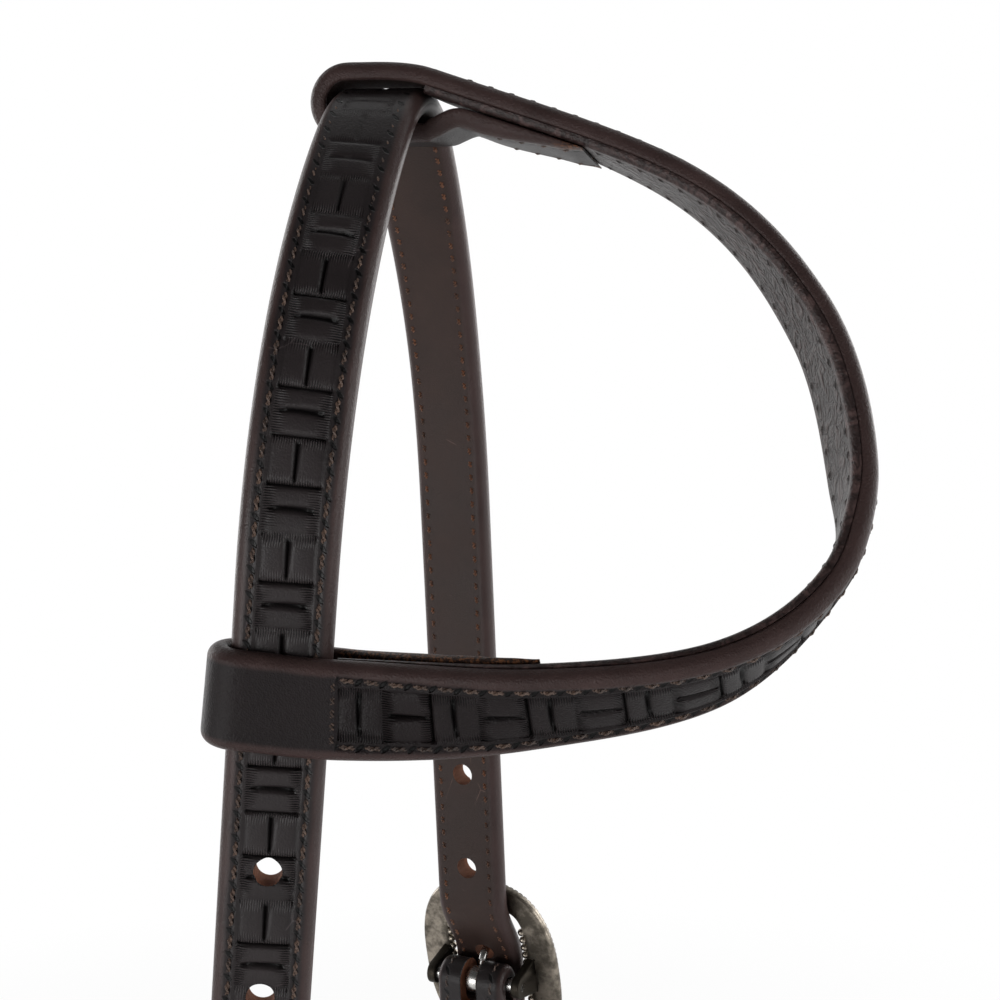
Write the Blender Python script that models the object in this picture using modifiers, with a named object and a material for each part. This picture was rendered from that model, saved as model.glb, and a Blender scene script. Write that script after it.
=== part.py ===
"""One-ear western headstall: a doubled and stitched crown with a sliding ear loop, two cart buckles,
two cheek pieces with keepers, and bit ends closed by screw posts. Lengths are in metres.

+X points to the horse's nose, +Z up, and the ear side lies at -Y. The origin is the underside of the
crown where it rests on the poll. A strap is swept along its own route as stations, each a point with
the direction across the strap, the outward normal, and how far its faces lie along that normal.
"""

import math

import bmesh
import bpy
from mathutils import Matrix, Vector
from mathutils.geometry import interpolate_bezier

# Strap stock
STRAP_WIDTH = 0.01905
GLUE_GAP = 0.0003
FIT_GAP = 0.0003
EDGE_ROUND = 0.0022
CROWN_OUTER_PLY = 0.0029
CROWN_LINING_PLY = 0.0024
EAR_OUTER_PLY = 0.0036
EAR_LINING_PLY = 0.0015
CHEEK_OUTER_PLY = 0.0030
CHEEK_LINING_PLY = 0.0036

# Crown, as it hangs over the poll
POLL_BEND_RADIUS = 0.0266
POLL_BEND_TURN = math.radians(42.0)
SHOULDER_BEND_RADIUS = 0.1152
EAR_SIDE_LEAN = math.radians(-4.5)
FAR_SIDE_LEAN = math.radians(2.6)
EAR_SIDE_TWIST = math.radians(9.6)
FAR_SIDE_TWIST = math.radians(19.8)
TWIST_RUN = 0.090
EAR_SIDE_HOLE_REACH = 0.2219
FAR_SIDE_HOLE_REACH = 0.2391
HOLE_SPACING = 0.0254
HOLE_RADIUS = 0.00275
HOLES_ABOVE = 2
HOLES_BELOW = 2
TAIL_TIP = 0.028
TAIL_POINT = 0.012

# Ear piece
EAR_REACH = 0.0945
EAR_LOOP_REACH = 0.1375
POLL_LOOP_SLACK = 0.0010
POLL_LOOP_HOLLOW = 0.0016
CHEEK_LOOP_SLACK = 0.00035
POLL_EDGE_GAP = 0.0017
CHEEK_EDGE_GAP = 0.0008
CHEEK_FRONT_GAP = 0.0006
EAR_LOOP_TILT = math.radians(2.0)
POLL_TAB_LENGTH = 0.0365
CHEEK_TAB_LENGTH = 0.0395
TAB_SKIVE = 0.0012

# Buckle
FRAME_WIDTH = 0.0400
FRAME_HEIGHT = 0.0530
FRAME_THICKNESS = 0.0022
FRAME_RIM = 0.0080
WINDOW_WIDTH = 0.0226
FRAME_EDGE_ROUND = 0.0006
WING_THICKNESS = 0.0024
WING_ROOT = 0.0100
WING_END_RADIUS = 0.0030
BAR_RADIUS = 0.0018
BAR_SEAT_GAP = 0.0001
HOLE_ABOVE_BAR = 0.0065
WEAVE_RUN = 0.0200
WEAVE_END = 0.0030
TONGUE_RADIUS = 0.0011
TONGUE_PIVOT_GAP = 0.00008
TONGUE_EYE_WALL = 0.0016
TONGUE_EYE_WIDTH = 0.0034
TONGUE_OVERHANG = 0.0010

# Cheek piece and its fittings
CHEEK_LENGTH = 0.2350
BUCKLE_TAB_LENGTH = 0.0340
TONGUE_SLOT_WIDTH = 0.0046
TONGUE_SLOT_LENGTH = 0.0055
BIT_LOOP_RADIUS = 0.0080
BIT_LOOP_DROP = 0.0200
BIT_TAB_LENGTH = 0.0580
SCREW_SPACING = 0.0240
SCREW_TO_LOOP = 0.0130
POST_RADIUS = 0.0023
POST_HEAD_RADIUS = 0.0048
POST_HEAD_HEIGHT = 0.0014
POST_HEAD_EDGE = 0.0006
SCREW_SHANK_RADIUS = 0.0014
SCREW_DRIVE_WIDTH = 0.0012
SCREW_DRIVE_DEPTH = 0.0006
KEEPER_WIDTH = 0.0120
KEEPER_PLY = 0.0020
KEEPER_REACH = 0.0550
KEEPER_CORNER = 0.0022

# How finely the routes and rounds are cut
STEP_TIGHT = 0.0036
STEP_EASY = 0.0070
STEP_BAND = 0.0050
STEP_STRAIGHT = 0.0180
STEP_WEAVE = 0.0025
ROUND_STEPS = 2
HOLE_SIDES = 14
BAR_SIDES = 24
OVERRUN = 0.0040
FACE_SHARES = (0.0,)
TWISTED_FACE_SHARES = (0.5, 0.0, -0.5)

CROWN_THICKNESS = CROWN_OUTER_PLY + GLUE_GAP + CROWN_LINING_PLY
CROWN_HALF = CROWN_THICKNESS / 2
BAR_TO_FOLD = BAR_RADIUS + FIT_GAP
FOLD_OUTSIDE = BAR_TO_FOLD + CHEEK_OUTER_PLY
WEAVE_RISE = FOLD_OUTSIDE + FIT_GAP + CROWN_HALF
WINDOW_HALF_HEIGHT = FRAME_HEIGHT / 2 - FRAME_RIM


def emptied_scene():
    for obj in list(bpy.data.objects):
        bpy.data.objects.remove(obj)
    for name in ("headstall", "cutters"):
        collection = bpy.data.collections.new(name)
        bpy.context.scene.collection.children.link(collection)
    bpy.data.collections["cutters"].hide_render = True


def material(name, colour, roughness, metallic=0.0):
    made = bpy.data.materials.new(name)
    made.use_nodes = True
    shader = made.node_tree.nodes["Principled BSDF"]
    shader.inputs["Base Color"].default_value = (*colour, 1.0)
    shader.inputs["Roughness"].default_value = roughness
    shader.inputs["Metallic"].default_value = metallic
    return made


def placed(name, mesh, look, origin=None):
    """An object for this mesh, with its origin moved to a joint's axis where it has one."""
    obj = bpy.data.objects.new(name, mesh)
    mesh.materials.append(look)
    if origin is not None:
        mesh.transform(Matrix.Translation(-origin))
        obj.location = origin
    mesh.shade_smooth()
    mesh.set_sharp_from_angle(angle=math.radians(40.0))
    bpy.data.collections["headstall"].objects.link(obj)
    return obj


def cut_by(obj, cutter_mesh, name):
    cutter = bpy.data.objects.new(name, cutter_mesh)
    bpy.data.collections["cutters"].objects.link(cutter)
    cutter.hide_render = True
    cutter.display_type = "WIRE"
    for target in obj:
        cut = target.modifiers.new(name, "BOOLEAN")
        cut.operation = "DIFFERENCE"
        cut.solver = "EXACT"
        cut.object = cutter


def smooth_step(share):
    share = min(max(share, 0.0), 1.0)
    return share * share * (3.0 - 2.0 * share)


def smooth_slope(share):
    share = min(max(share, 0.0), 1.0)
    return 6.0 * share * (1.0 - share)


def spread(start, end, step):
    """Values from start to end, no further apart than step, without the end."""
    count = max(1, math.ceil(abs(end - start) / step))
    return [start + (end - start) * i / count for i in range(count)]


class Side:
    """One side of the headstall: -1 is the ear side, at -Y, and +1 the far side."""

    def __init__(self, name, sign, lean, twist, hole_reach):
        self.name = name
        self.sign = sign
        self.lean = lean
        self.twist = twist
        self.hole = hole_reach
        self.bar = hole_reach + HOLE_ABOVE_BAR
        self.tip = hole_reach + HOLES_BELOW * HOLE_SPACING + TAIL_TIP

    def arch(self, along):
        """The crown's middle line without its lean: (outward from the poll, height, turn)."""
        first = POLL_BEND_RADIUS * POLL_BEND_TURN
        quarter = math.radians(90.0)
        if along <= first:
            turn = along / POLL_BEND_RADIUS
            return POLL_BEND_RADIUS * math.sin(turn), POLL_BEND_RADIUS * (math.cos(turn) - 1), turn
        turn = min(POLL_BEND_TURN + (along - first) / SHOULDER_BEND_RADIUS, quarter)
        out = POLL_BEND_RADIUS * math.sin(POLL_BEND_TURN)
        out += SHOULDER_BEND_RADIUS * (math.sin(turn) - math.sin(POLL_BEND_TURN))
        height = POLL_BEND_RADIUS * (math.cos(POLL_BEND_TURN) - 1)
        height -= SHOULDER_BEND_RADIUS * (math.cos(POLL_BEND_TURN) - math.cos(turn))
        straight = along - first - SHOULDER_BEND_RADIUS * (quarter - POLL_BEND_TURN)
        return out, height - max(straight, 0.0), turn

    def frame(self, along):
        """(point, down the strap, across it towards the nose, outward) at this reach from the poll."""
        out, height, turn = self.arch(along * math.cos(self.lean))
        point = Vector((along * math.sin(self.lean), self.sign * out, height + CROWN_HALF))
        down = Vector((math.sin(self.lean), 0.0, 0.0))
        down += math.cos(self.lean) * Vector((0.0, self.sign * math.cos(turn), -math.sin(turn)))
        across = (Vector((1.0, 0.0, 0.0)) - down.x * down).normalized()
        outward = self.sign * across.cross(down)
        twist = self.twist * smooth_step(along / TWIST_RUN)
        turned = outward * math.cos(twist) + across * math.sin(twist)
        across = across * math.cos(twist) - outward * math.sin(twist)
        return point, down, across, turned

    def rise(self, along):
        """How far the buckle's bar pushes the strap outward, and the slope of that push."""
        share = (along - self.bar + WEAVE_END + WEAVE_RUN) / WEAVE_RUN
        return WEAVE_RISE * smooth_step(share), WEAVE_RISE * smooth_slope(share) / WEAVE_RUN

    def crown_station(self, along, half_width, low, high):
        point, down, across, outward = self.frame(along)
        rise, slope = self.rise(along)
        point = point + outward * rise
        outward = (outward - down * slope).normalized()
        return point, across, outward, half_width, low, high

    def at_bar(self, below, out):
        """A point given from the bar's middle: this far below it and this far outward."""
        point, down, across, outward = self.frame(self.bar)
        return point + down * below + outward * out

    def axes(self):
        point, down, across, outward = self.frame(self.bar)
        return across, down, outward

    def matrix(self, below, out):
        """Local X across, Y up the strap and Z outward, from a point near the bar."""
        across, down, outward = self.axes()
        side = across * -self.sign
        columns = Matrix((side, -down, outward)).transposed().to_4x4()
        columns.translation = self.at_bar(below, out)
        return columns


EAR_SIDE = Side("ear_side", -1, EAR_SIDE_LEAN, EAR_SIDE_TWIST, EAR_SIDE_HOLE_REACH)
FAR_SIDE = Side("far_side", 1, FAR_SIDE_LEAN, FAR_SIDE_TWIST, FAR_SIDE_HOLE_REACH)


def section(half_width, low, high, round_low, round_high, face_shares):
    """A strap's cut end as (across, outward) points, its rounded corners taken from the edge round."""
    limit = (high - low) * (0.45 if round_low and round_high else 0.8)
    radius = min(EDGE_ROUND, limit, half_width * 0.9)

    def corner(across, out, rounded, start):
        if not rounded:
            return [(across, out)]
        centre_across = across - math.copysign(radius, across)
        centre_out = out + (radius if out == low else -radius)
        angles = [math.radians(start + 90.0 * i / ROUND_STEPS) for i in range(ROUND_STEPS + 1)]
        return [(centre_across + radius * math.cos(a), centre_out + radius * math.sin(a)) for a in angles]

    right = corner(half_width, low, round_low, -90.0) + corner(half_width, high, round_high, 0.0)
    top = [(half_width * share, high) for share in face_shares]
    left = corner(-half_width, high, round_high, 90.0) + corner(-half_width, low, round_low, 180.0)
    bottom = [(-half_width * share, low) for share in face_shares]
    return right + top + left + bottom


def swept(name, stations, round_low=False, round_high=False, face_shares=FACE_SHARES):
    """A closed strap through its stations, square at both ends."""
    shape = bmesh.new()
    rings = []
    for point, across, outward, half_width, low, high in stations:
        outline = section(half_width, low, high, round_low, round_high, face_shares)
        rings.append([shape.verts.new(point + across * a + outward * o) for a, o in outline])
    for one, other in zip(rings[:-1], rings[1:]):
        for i in range(len(one)):
            shape.faces.new((one[i - 1], one[i], other[i], other[i - 1]))
    shape.faces.new(rings[0])
    shape.faces.new(list(reversed(rings[-1])))
    bmesh.ops.recalc_face_normals(shape, faces=shape.faces)
    mesh = bpy.data.meshes.new(name)
    shape.to_mesh(mesh)
    shape.free()
    return mesh


def cylinder(shape, start, end, radius, sides):
    """Adds a closed cylinder between two points."""
    axis = end - start
    turn = axis.to_track_quat("Z", "Y").to_matrix().to_4x4()
    turn.translation = (start + end) / 2
    bmesh.ops.create_cone(
        shape, cap_ends=True, segments=sides, radius1=radius, radius2=radius, depth=axis.length, matrix=turn
    )


def block(shape, matrix, size):
    bmesh.ops.create_cube(shape, size=1.0, matrix=matrix @ Matrix.Diagonal((*size, 1.0)))


def mesh_from(shape, name):
    mesh = bpy.data.meshes.new(name)
    shape.to_mesh(mesh)
    shape.free()
    return mesh


def baked(obj, name):
    """The object's mesh with its modifiers applied, in world space; the object itself goes."""
    bpy.context.view_layer.update()
    graph = bpy.context.evaluated_depsgraph_get()
    mesh = bpy.data.meshes.new_from_object(obj.evaluated_get(graph))
    mesh.transform(obj.matrix_world)
    mesh.name = name
    mesh.materials.clear()
    bpy.data.objects.remove(obj)
    return mesh


def joined(name, first, second):
    """One closed mesh from two that overlap."""
    body = bpy.data.objects.new(name, first)
    other = bpy.data.objects.new(name + "_tool", second)
    for obj in (body, other):
        bpy.context.scene.collection.objects.link(obj)
    union = body.modifiers.new("union", "BOOLEAN")
    union.operation = "UNION"
    union.solver = "EXACT"
    union.object = other
    mesh = baked(body, name)
    bpy.data.objects.remove(other)
    return mesh


def flat_outline(name, outlines, half_depth, edge=0.0):
    """A filled flat outline as a closed mesh, its depth centred on the drawing plane."""
    curve = bpy.data.curves.new(name, "CURVE")
    curve.dimensions = "2D"
    curve.fill_mode = "BOTH"
    curve.extrude = half_depth - edge
    curve.bevel_depth = edge
    curve.bevel_resolution = 0
    curve.offset = -edge
    for outline in outlines:
        spline = curve.splines.new("POLY")
        spline.points.add(len(outline) - 1)
        for point, (x, y) in zip(spline.points, outline):
            point.co = (x, y, 0.0, 1.0)
        spline.use_cyclic_u = True
    obj = bpy.data.objects.new(name, curve)
    bpy.context.scene.collection.objects.link(obj)
    mesh = baked(obj, name)
    shape = bmesh.new()
    shape.from_mesh(mesh)
    bmesh.ops.remove_doubles(shape, verts=shape.verts, dist=GLUE_GAP / 100)
    bmesh.ops.recalc_face_normals(shape, faces=shape.faces)
    shape.to_mesh(mesh)
    shape.free()
    return mesh


# Crown


def crown_reaches(side):
    """Where the crown has its stations, closer together where it bends."""
    bend = POLL_BEND_RADIUS * POLL_BEND_TURN
    shoulder = bend + SHOULDER_BEND_RADIUS * (math.radians(90.0) - POLL_BEND_TURN)
    weave_start = side.bar - WEAVE_END - WEAVE_RUN
    weave_end = side.bar - WEAVE_END
    reaches = spread(0.0, bend, STEP_TIGHT) + spread(bend, shoulder, STEP_EASY)
    reaches += spread(shoulder, weave_start, STEP_STRAIGHT) + spread(weave_start, weave_end, STEP_WEAVE)
    return reaches + spread(weave_end, side.tip - TAIL_POINT, STEP_STRAIGHT)


def crown_stations(side, low, high):
    stations = [side.crown_station(s, STRAP_WIDTH / 2, low, high) for s in crown_reaches(side)]
    for share in (0.0, 0.45, 0.75, 0.92, 1.0):
        width = math.sqrt(1.0 - 0.97 * share * share)
        reach = side.tip - TAIL_POINT * (1.0 - share)
        stations.append(side.crown_station(reach, STRAP_WIDTH / 2 * width, low, high))
    return stations


def crown_holes(side):
    shape = bmesh.new()
    for i in range(-HOLES_ABOVE, HOLES_BELOW + 1):
        point, across, outward, *_ = side.crown_station(side.hole + i * HOLE_SPACING, 0.0, 0.0, 0.0)
        reach = outward * (CROWN_HALF + OVERRUN)
        cylinder(shape, point - reach, point + reach, HOLE_RADIUS, HOLE_SIDES)
    return mesh_from(shape, side.name + "_holes")


def build_crown(grain, flesh):
    lining_top = -CROWN_HALF + CROWN_LINING_PLY
    plies = (
        ("crown_outer", lining_top + GLUE_GAP, CROWN_HALF, grain),
        ("crown_lining", -CROWN_HALF, lining_top, flesh),
    )
    straps = []
    for name, low, high, look in plies:
        near = crown_stations(EAR_SIDE, low, high)[1:]
        far = crown_stations(FAR_SIDE, low, high)
        outer = name == "crown_outer"
        mesh = swept(name, list(reversed(near)) + far, round_low=not outer, round_high=outer)
        straps.append(placed(name, mesh, look))
    for side in (EAR_SIDE, FAR_SIDE):
        cut_by(straps, crown_holes(side), side.name + "_crown_holes")


# Ear piece

# The ear band's seam line between its two loops, as shares of the reach forward, of the gap from the
# poll to the ear-side arm, and of the drop to the lower loop, and how far each point is turned from
# lying across the poll to standing along the arm.
EAR_ROUTE_SHARES = (
    (0.650, 0.188, 0.162, 0.140),
    (0.910, 0.367, 0.386, 0.388),
    (0.997, 0.584, 0.634, 0.679),
    (0.9625, 0.743, 0.791, 0.253),
    (0.751, 0.904, 0.936, 0.472),
    (0.391, 0.981, 0.997, 0.679),
)
POLL_END_SLOPE_SHARE = 0.305
TAB_JOIN_SHARES = (0.27, 0.5)
POLL_END_FALL_SHARE = 0.45


def cheek_loop_frame():
    """(point, down, across, outward) of the loop on the arm, its front end drawn down a little."""
    point, down, across, outward = EAR_SIDE.frame(EAR_LOOP_REACH)
    c, s = math.cos(EAR_LOOP_TILT), math.sin(EAR_LOOP_TILT)
    return point, down * c - across * s, across * c + down * s, outward


class EarBand:
    """The ear band's seam line as a smooth curve, measured from its poll end."""

    def __init__(self):
        arm, down, across, outward = cheek_loop_frame()
        crest, over, forward, up = FAR_SIDE.frame(0.0)
        self.beside = -over
        self.clear = STRAP_WIDTH / 2 + FIT_GAP + EAR_LINING_PLY / 2
        seam_top = CROWN_HALF + POLL_LOOP_SLACK - GLUE_GAP / 2
        slope = forward - up * POLL_END_SLOPE_SHARE
        fallen = POLL_END_SLOPE_SHARE * self.clear * POLL_END_FALL_SHARE
        start = crest + forward * self.clear + up * (seam_top - fallen)
        seam_arm = CROWN_HALF + CHEEK_LOOP_SLACK - GLUE_GAP / 2
        end = arm + across * (self.clear + CHEEK_FRONT_GAP - FIT_GAP) + outward * seam_arm
        knots = [start - slope * EAR_REACH / 3, start]
        turns = [0.0, 0.0]
        for forward, aside, fall, turn in EAR_ROUTE_SHARES:
            knots.append(Vector((forward * EAR_REACH, aside * arm.y, crest.z + fall * (arm.z - crest.z))))
            turns.append(turn)
        knots += [end, end - across * EAR_REACH / 3]
        turns += [1.0, 1.0]
        self.upright = -down
        self.points, self.widths = [], []
        fine = 24
        for k in range(1, len(knots) - 2):
            for i in range(fine + (k == len(knots) - 3)):
                t = i / fine
                self.points.append(self.blend(knots[k - 1 : k + 3], t))
                self.widths.append(self.blend(turns[k - 1 : k + 3], t))
        self.lengths = [0.0]
        for one, other in zip(self.points[:-1], self.points[1:]):
            self.lengths.append(self.lengths[-1] + (other - one).length)
        self.length = self.lengths[-1]

    @staticmethod
    def blend(knots, t):
        """A point of the curve through the middle two knots, by the Catmull-Rom rule."""
        a, b, c, d = knots
        cubic = (3 * (b - c) + d - a) * t**3 + (2 * a - 5 * b + 4 * c - d) * t**2
        return (cubic + (c - a) * t + 2 * b) / 2

    def at(self, along):
        """(point, forward along the band, across, outward) this far from the poll end."""
        along = min(max(along, 0.0), self.length)
        k = 0
        while k < len(self.lengths) - 2 and self.lengths[k + 1] < along:
            k += 1
        t = (along - self.lengths[k]) / (self.lengths[k + 1] - self.lengths[k])
        point = self.points[k].lerp(self.points[k + 1], t)
        before, after = max(k - 1, 0), min(k + 2, len(self.points) - 1)
        tangent = (self.points[after] - self.points[before]).normalized()
        turn = (self.widths[k] + (self.widths[k + 1] - self.widths[k]) * t) * math.radians(90.0)
        across = math.cos(turn) * self.beside + math.sin(turn) * self.upright
        across = (across - across.dot(tangent) * tangent).normalized()
        return point, tangent, across, across.cross(tangent)

    def station(self, along, half_width, low, high):
        point, tangent, across, outward = self.at(along)
        return point, across, outward, half_width, low, high


def turned_path(points, widths, sign):
    """Stations' frames from a line of points: the normal lies square to the path and to the strap."""
    frames = []
    for i, point in enumerate(points):
        tangent = (points[min(i + 1, len(points) - 1)] - points[max(i - 1, 0)]).normalized()
        across = (widths[i] - widths[i].dot(tangent) * tangent).normalized()
        frames.append((point, across, sign * tangent.cross(across)))
    return frames


def bezier(start, start_pull, end, end_pull, count):
    return interpolate_bezier(start, start + start_pull, end - end_pull, end, count)


def loop_stations(band, from_poll, centre, forward, outward, across, top, bottom):
    """An end of the ear piece: it leaves the band, wraps the crown strap and comes back under the band.

    top and bottom are where the ply's middle runs, outward and inward of the crown's middle.
    """

    def seam(along):
        point, tangent, width, normal = band.at(along if from_poll else band.length - along)
        return point, tangent if from_poll else -tangent, width, normal

    half = EAR_OUTER_PLY / 2
    point, away, width, normal = seam(0.0)
    start = point - away * 2 * GLUE_GAP + normal * (GLUE_GAP / 2 + half)
    turn_radius = (top - bottom) / 2
    edge_gap = POLL_EDGE_GAP if from_poll else CHEEK_EDGE_GAP
    back = STRAP_WIDTH / 2 + edge_gap + half - turn_radius
    upper = centre - forward * back + outward * top
    pull = (upper - start).length / 3
    points = list(bezier(start, -away * pull, upper, -forward * pull, 7))
    middle = centre - forward * back + outward * (top + bottom) / 2
    for i in range(1, 11):
        angle = math.radians(180.0 * i / 10)
        points.append(middle + turn_radius * (outward * math.cos(angle) - forward * math.sin(angle)))
    under = centre + forward * (STRAP_WIDTH / 2) + outward * bottom
    points += [points[-1].lerp(under, share) for share in (0.35, 0.7, 1.0)]
    below = GLUE_GAP / 2 + EAR_LINING_PLY + FIT_GAP + half
    finish = POLL_TAB_LENGTH if from_poll else CHEEK_TAB_LENGTH
    join = finish * TAB_JOIN_SHARES[0 if from_poll else 1]
    point, away, width, normal = seam(join)
    pull = (point - normal * below - under).length / 3
    widths = [across] * len(points)
    points += list(bezier(under, forward * pull, point - normal * below, away * pull, 6))[1:]
    widths += [seam(join * i / 5)[2] for i in range(1, 6)]
    for share in (0.2, 0.4, 0.6, 0.8, 1.0):
        point, away, width, normal = seam(join + (finish - join) * share)
        points.append(point - normal * below)
        widths.append(width)
    stations = []
    count = len(points)
    frames = turned_path(points, widths, 1 if from_poll else -1)
    for i, (place, wide, normal) in enumerate(frames):
        thin = (half * 2 - TAB_SKIVE) * smooth_step((i - (count - 6)) / 5)
        stations.append((place, wide, normal, STRAP_WIDTH / 2, -half, half - thin))
    return stations


def build_ear_piece(grain, flesh):
    band = EarBand()
    along = spread(0.0, band.length, STEP_BAND) + [band.length]
    half_width = STRAP_WIDTH / 2
    seam = GLUE_GAP / 2
    outer = [band.station(s, half_width, seam, seam + EAR_OUTER_PLY) for s in along]
    lining = [band.station(s, half_width, -seam - EAR_LINING_PLY, -seam) for s in along]
    faces = TWISTED_FACE_SHARES
    outer_mesh = swept("ear_band_outer", outer, round_high=True, face_shares=faces)
    lining_mesh = swept("ear_band_lining", lining, round_low=True, face_shares=faces)
    placed("ear_band_outer", outer_mesh, grain)
    placed("ear_band_lining", lining_mesh, flesh)

    half = EAR_OUTER_PLY / 2
    crest, over, forward, up = FAR_SIDE.frame(0.0)
    top = CROWN_HALF + POLL_LOOP_SLACK + half
    bottom = -(CROWN_HALF + POLL_LOOP_HOLLOW + FIT_GAP + half)
    poll_loop = loop_stations(band, True, crest, forward, up, -over, top, bottom)
    placed("ear_poll_loop", swept("ear_poll_loop", poll_loop, True, True), grain)

    arm, down, across, outward = cheek_loop_frame()
    seat = CROWN_HALF + CHEEK_LOOP_SLACK + half
    cheek_loop = loop_stations(band, False, arm, across, outward, -down, seat, -seat)
    placed("ear_cheek_loop", swept("ear_cheek_loop", cheek_loop, True, True), grain, arm)


# Buckles


def oval(width, height, power, count):
    """A rounded oval, squarer as its power rises."""
    points = []
    for i in range(count):
        angle = 2 * math.pi * i / count
        c, s = math.cos(angle), math.sin(angle)
        x = math.copysign(abs(c) ** (2 / power), c) * width / 2
        y = math.copysign(abs(s) ** (2 / power), s) * height / 2
        points.append((x, y))
    return points


def frame_plane():
    """The buckle frame's height over the bar at its middle, and its slope down the strap.

    Its upper rim clears the strap that comes in under it, and its lower rim clears the tail.
    """
    half = FRAME_THICKNESS / 2
    share = (WEAVE_END + WEAVE_RUN - WINDOW_HALF_HEIGHT) / WEAVE_RUN
    lean = math.atan(WEAVE_RISE * smooth_slope(share) / WEAVE_RUN)
    upper = WEAVE_RISE * smooth_step(share) + CROWN_HALF / math.cos(lean) + FIT_GAP + half
    lower = WEAVE_RISE + CROWN_HALF + FIT_GAP + half
    slope = math.atan((lower - upper) / (2 * WINDOW_HALF_HEIGHT))
    return (upper + lower) / 2 + half * (1 / math.cos(slope) - 1), slope


def build_buckle(side, silver, steel):
    height, slope = frame_plane()
    at_bar = side.matrix(0.0, 0.0)
    tilt = Matrix.Translation((0.0, 0.0, height)) @ Matrix.Rotation(-slope, 4, "X")

    window = oval(WINDOW_WIDTH, 2 * WINDOW_HALF_HEIGHT, 5.0, 28)
    ring = flat_outline(
        "ring", (oval(FRAME_WIDTH, FRAME_HEIGHT, 2.5, 36), window), FRAME_THICKNESS / 2, FRAME_EDGE_ROUND
    )
    ring.transform(tilt)

    wing_out = WINDOW_WIDTH / 2 + WING_THICKNESS
    profile = []
    for i in range(9):
        angle = math.radians(180.0 + 180.0 * i / 8)
        profile.append((WING_END_RADIUS * math.cos(angle), WING_END_RADIUS * math.sin(angle)))
    profile += [(WING_ROOT / 2, height), (-WING_ROOT / 2, height)]
    for end in (-1, 1):
        wing = flat_outline("wing", (profile,), WING_THICKNESS / 2)
        middle = end * (wing_out - WING_THICKNESS / 2)
        stand = Matrix.Translation((middle, 0.0, 0.0)) @ Matrix(
            ((0, 0, 1, 0), (1, 0, 0, 0), (0, 1, 0, 0), (0, 0, 0, 1))
        )
        wing.transform(stand)
        ring = joined("ring", ring, wing)
    ring.transform(at_bar)
    ring.name = side.name + "_buckle_frame"
    frame = placed(ring.name, ring, silver)

    across = side.axes()[0]
    centre = side.at_bar(0.0, 0.0)
    bores = bmesh.new()
    reach = across * (wing_out + OVERRUN)
    cylinder(bores, centre - reach, centre + reach, BAR_RADIUS + BAR_SEAT_GAP, BAR_SIDES)
    cut_by([frame], mesh_from(bores, "bar_bores"), side.name + "_bar_bores")

    bar = bmesh.new()
    reach = across * wing_out
    cylinder(bar, centre - reach, centre + reach, BAR_RADIUS, BAR_SIDES)
    name = side.name + "_buckle_bar"
    placed(name, mesh_from(bar, name), steel)
    build_tongue(side, height, slope, steel)


def build_tongue(side, height, slope, steel):
    """The tongue's eye turns on the bar; its shank leaves through the hole and rests on the upper rim."""
    bore = BAR_RADIUS + TONGUE_PIVOT_GAP
    rise, lean = side.rise(side.hole)
    clear = CROWN_HALF + TONGUE_RADIUS + FIT_GAP
    rest = height + (FRAME_THICKNESS / 2 + FIT_GAP + TONGUE_RADIUS) / math.cos(slope)
    rim_edge = FRAME_HEIGHT / 2

    def over_rim(up):
        return -up, rest - up * math.tan(slope)

    leave = HOLE_ABOVE_BAR + clear * math.sin(math.atan(lean))
    crown_top = rise + CROWN_HALF
    route = [
        (-bore * 0.55, bore * 0.85),
        (-HOLE_ABOVE_BAR * 0.60, rise * 0.55),
        (-HOLE_ABOVE_BAR, rise),
        (-leave, rise + clear * 0.72),
        (-leave - TONGUE_RADIUS, crown_top + TONGUE_RADIUS * 0.45),
        (-leave - TONGUE_RADIUS * 2.6, over_rim(leave + TONGUE_RADIUS * 2.6)[1] + TONGUE_RADIUS * 0.5),
        over_rim(WINDOW_HALF_HEIGHT),
        over_rim(rim_edge + TONGUE_OVERHANG),
    ]
    curve = bpy.data.curves.new("shank", "CURVE")
    curve.dimensions = "3D"
    curve.bevel_depth = TONGUE_RADIUS
    curve.bevel_resolution = 2
    curve.resolution_u = 3
    curve.use_fill_caps = True
    spline = curve.splines.new("BEZIER")
    spline.bezier_points.add(len(route) - 1)
    for knot, (below, out) in zip(spline.bezier_points, route):
        knot.co = side.at_bar(below, out)
        knot.handle_left_type = knot.handle_right_type = "AUTO"
    shank_object = bpy.data.objects.new("shank", curve)
    bpy.context.scene.collection.objects.link(shank_object)
    shank = baked(shank_object, "shank")
    shape = bmesh.new()
    shape.from_mesh(shank)
    bmesh.ops.remove_doubles(shape, verts=shape.verts, dist=GLUE_GAP / 100)
    bmesh.ops.recalc_face_normals(shape, faces=shape.faces)
    shape.to_mesh(shank)
    shape.free()

    across = side.axes()[0]
    centre = side.at_bar(0.0, 0.0)
    eye = bmesh.new()
    reach = across * (TONGUE_EYE_WIDTH / 2)
    cylinder(eye, centre - reach, centre + reach, bore + TONGUE_EYE_WALL, BAR_SIDES)
    name = side.name + "_buckle_tongue"
    mesh = joined(name, mesh_from(eye, "eye"), shank)
    tongue = placed(name, mesh, steel, centre)
    hole = bmesh.new()
    reach = across * (TONGUE_EYE_WIDTH / 2 + OVERRUN)
    cylinder(hole, centre - reach, centre + reach, bore, BAR_SIDES)
    cut_by([tongue], mesh_from(hole, "eye_bore"), side.name + "_tongue_bore")


# Cheek pieces


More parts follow.
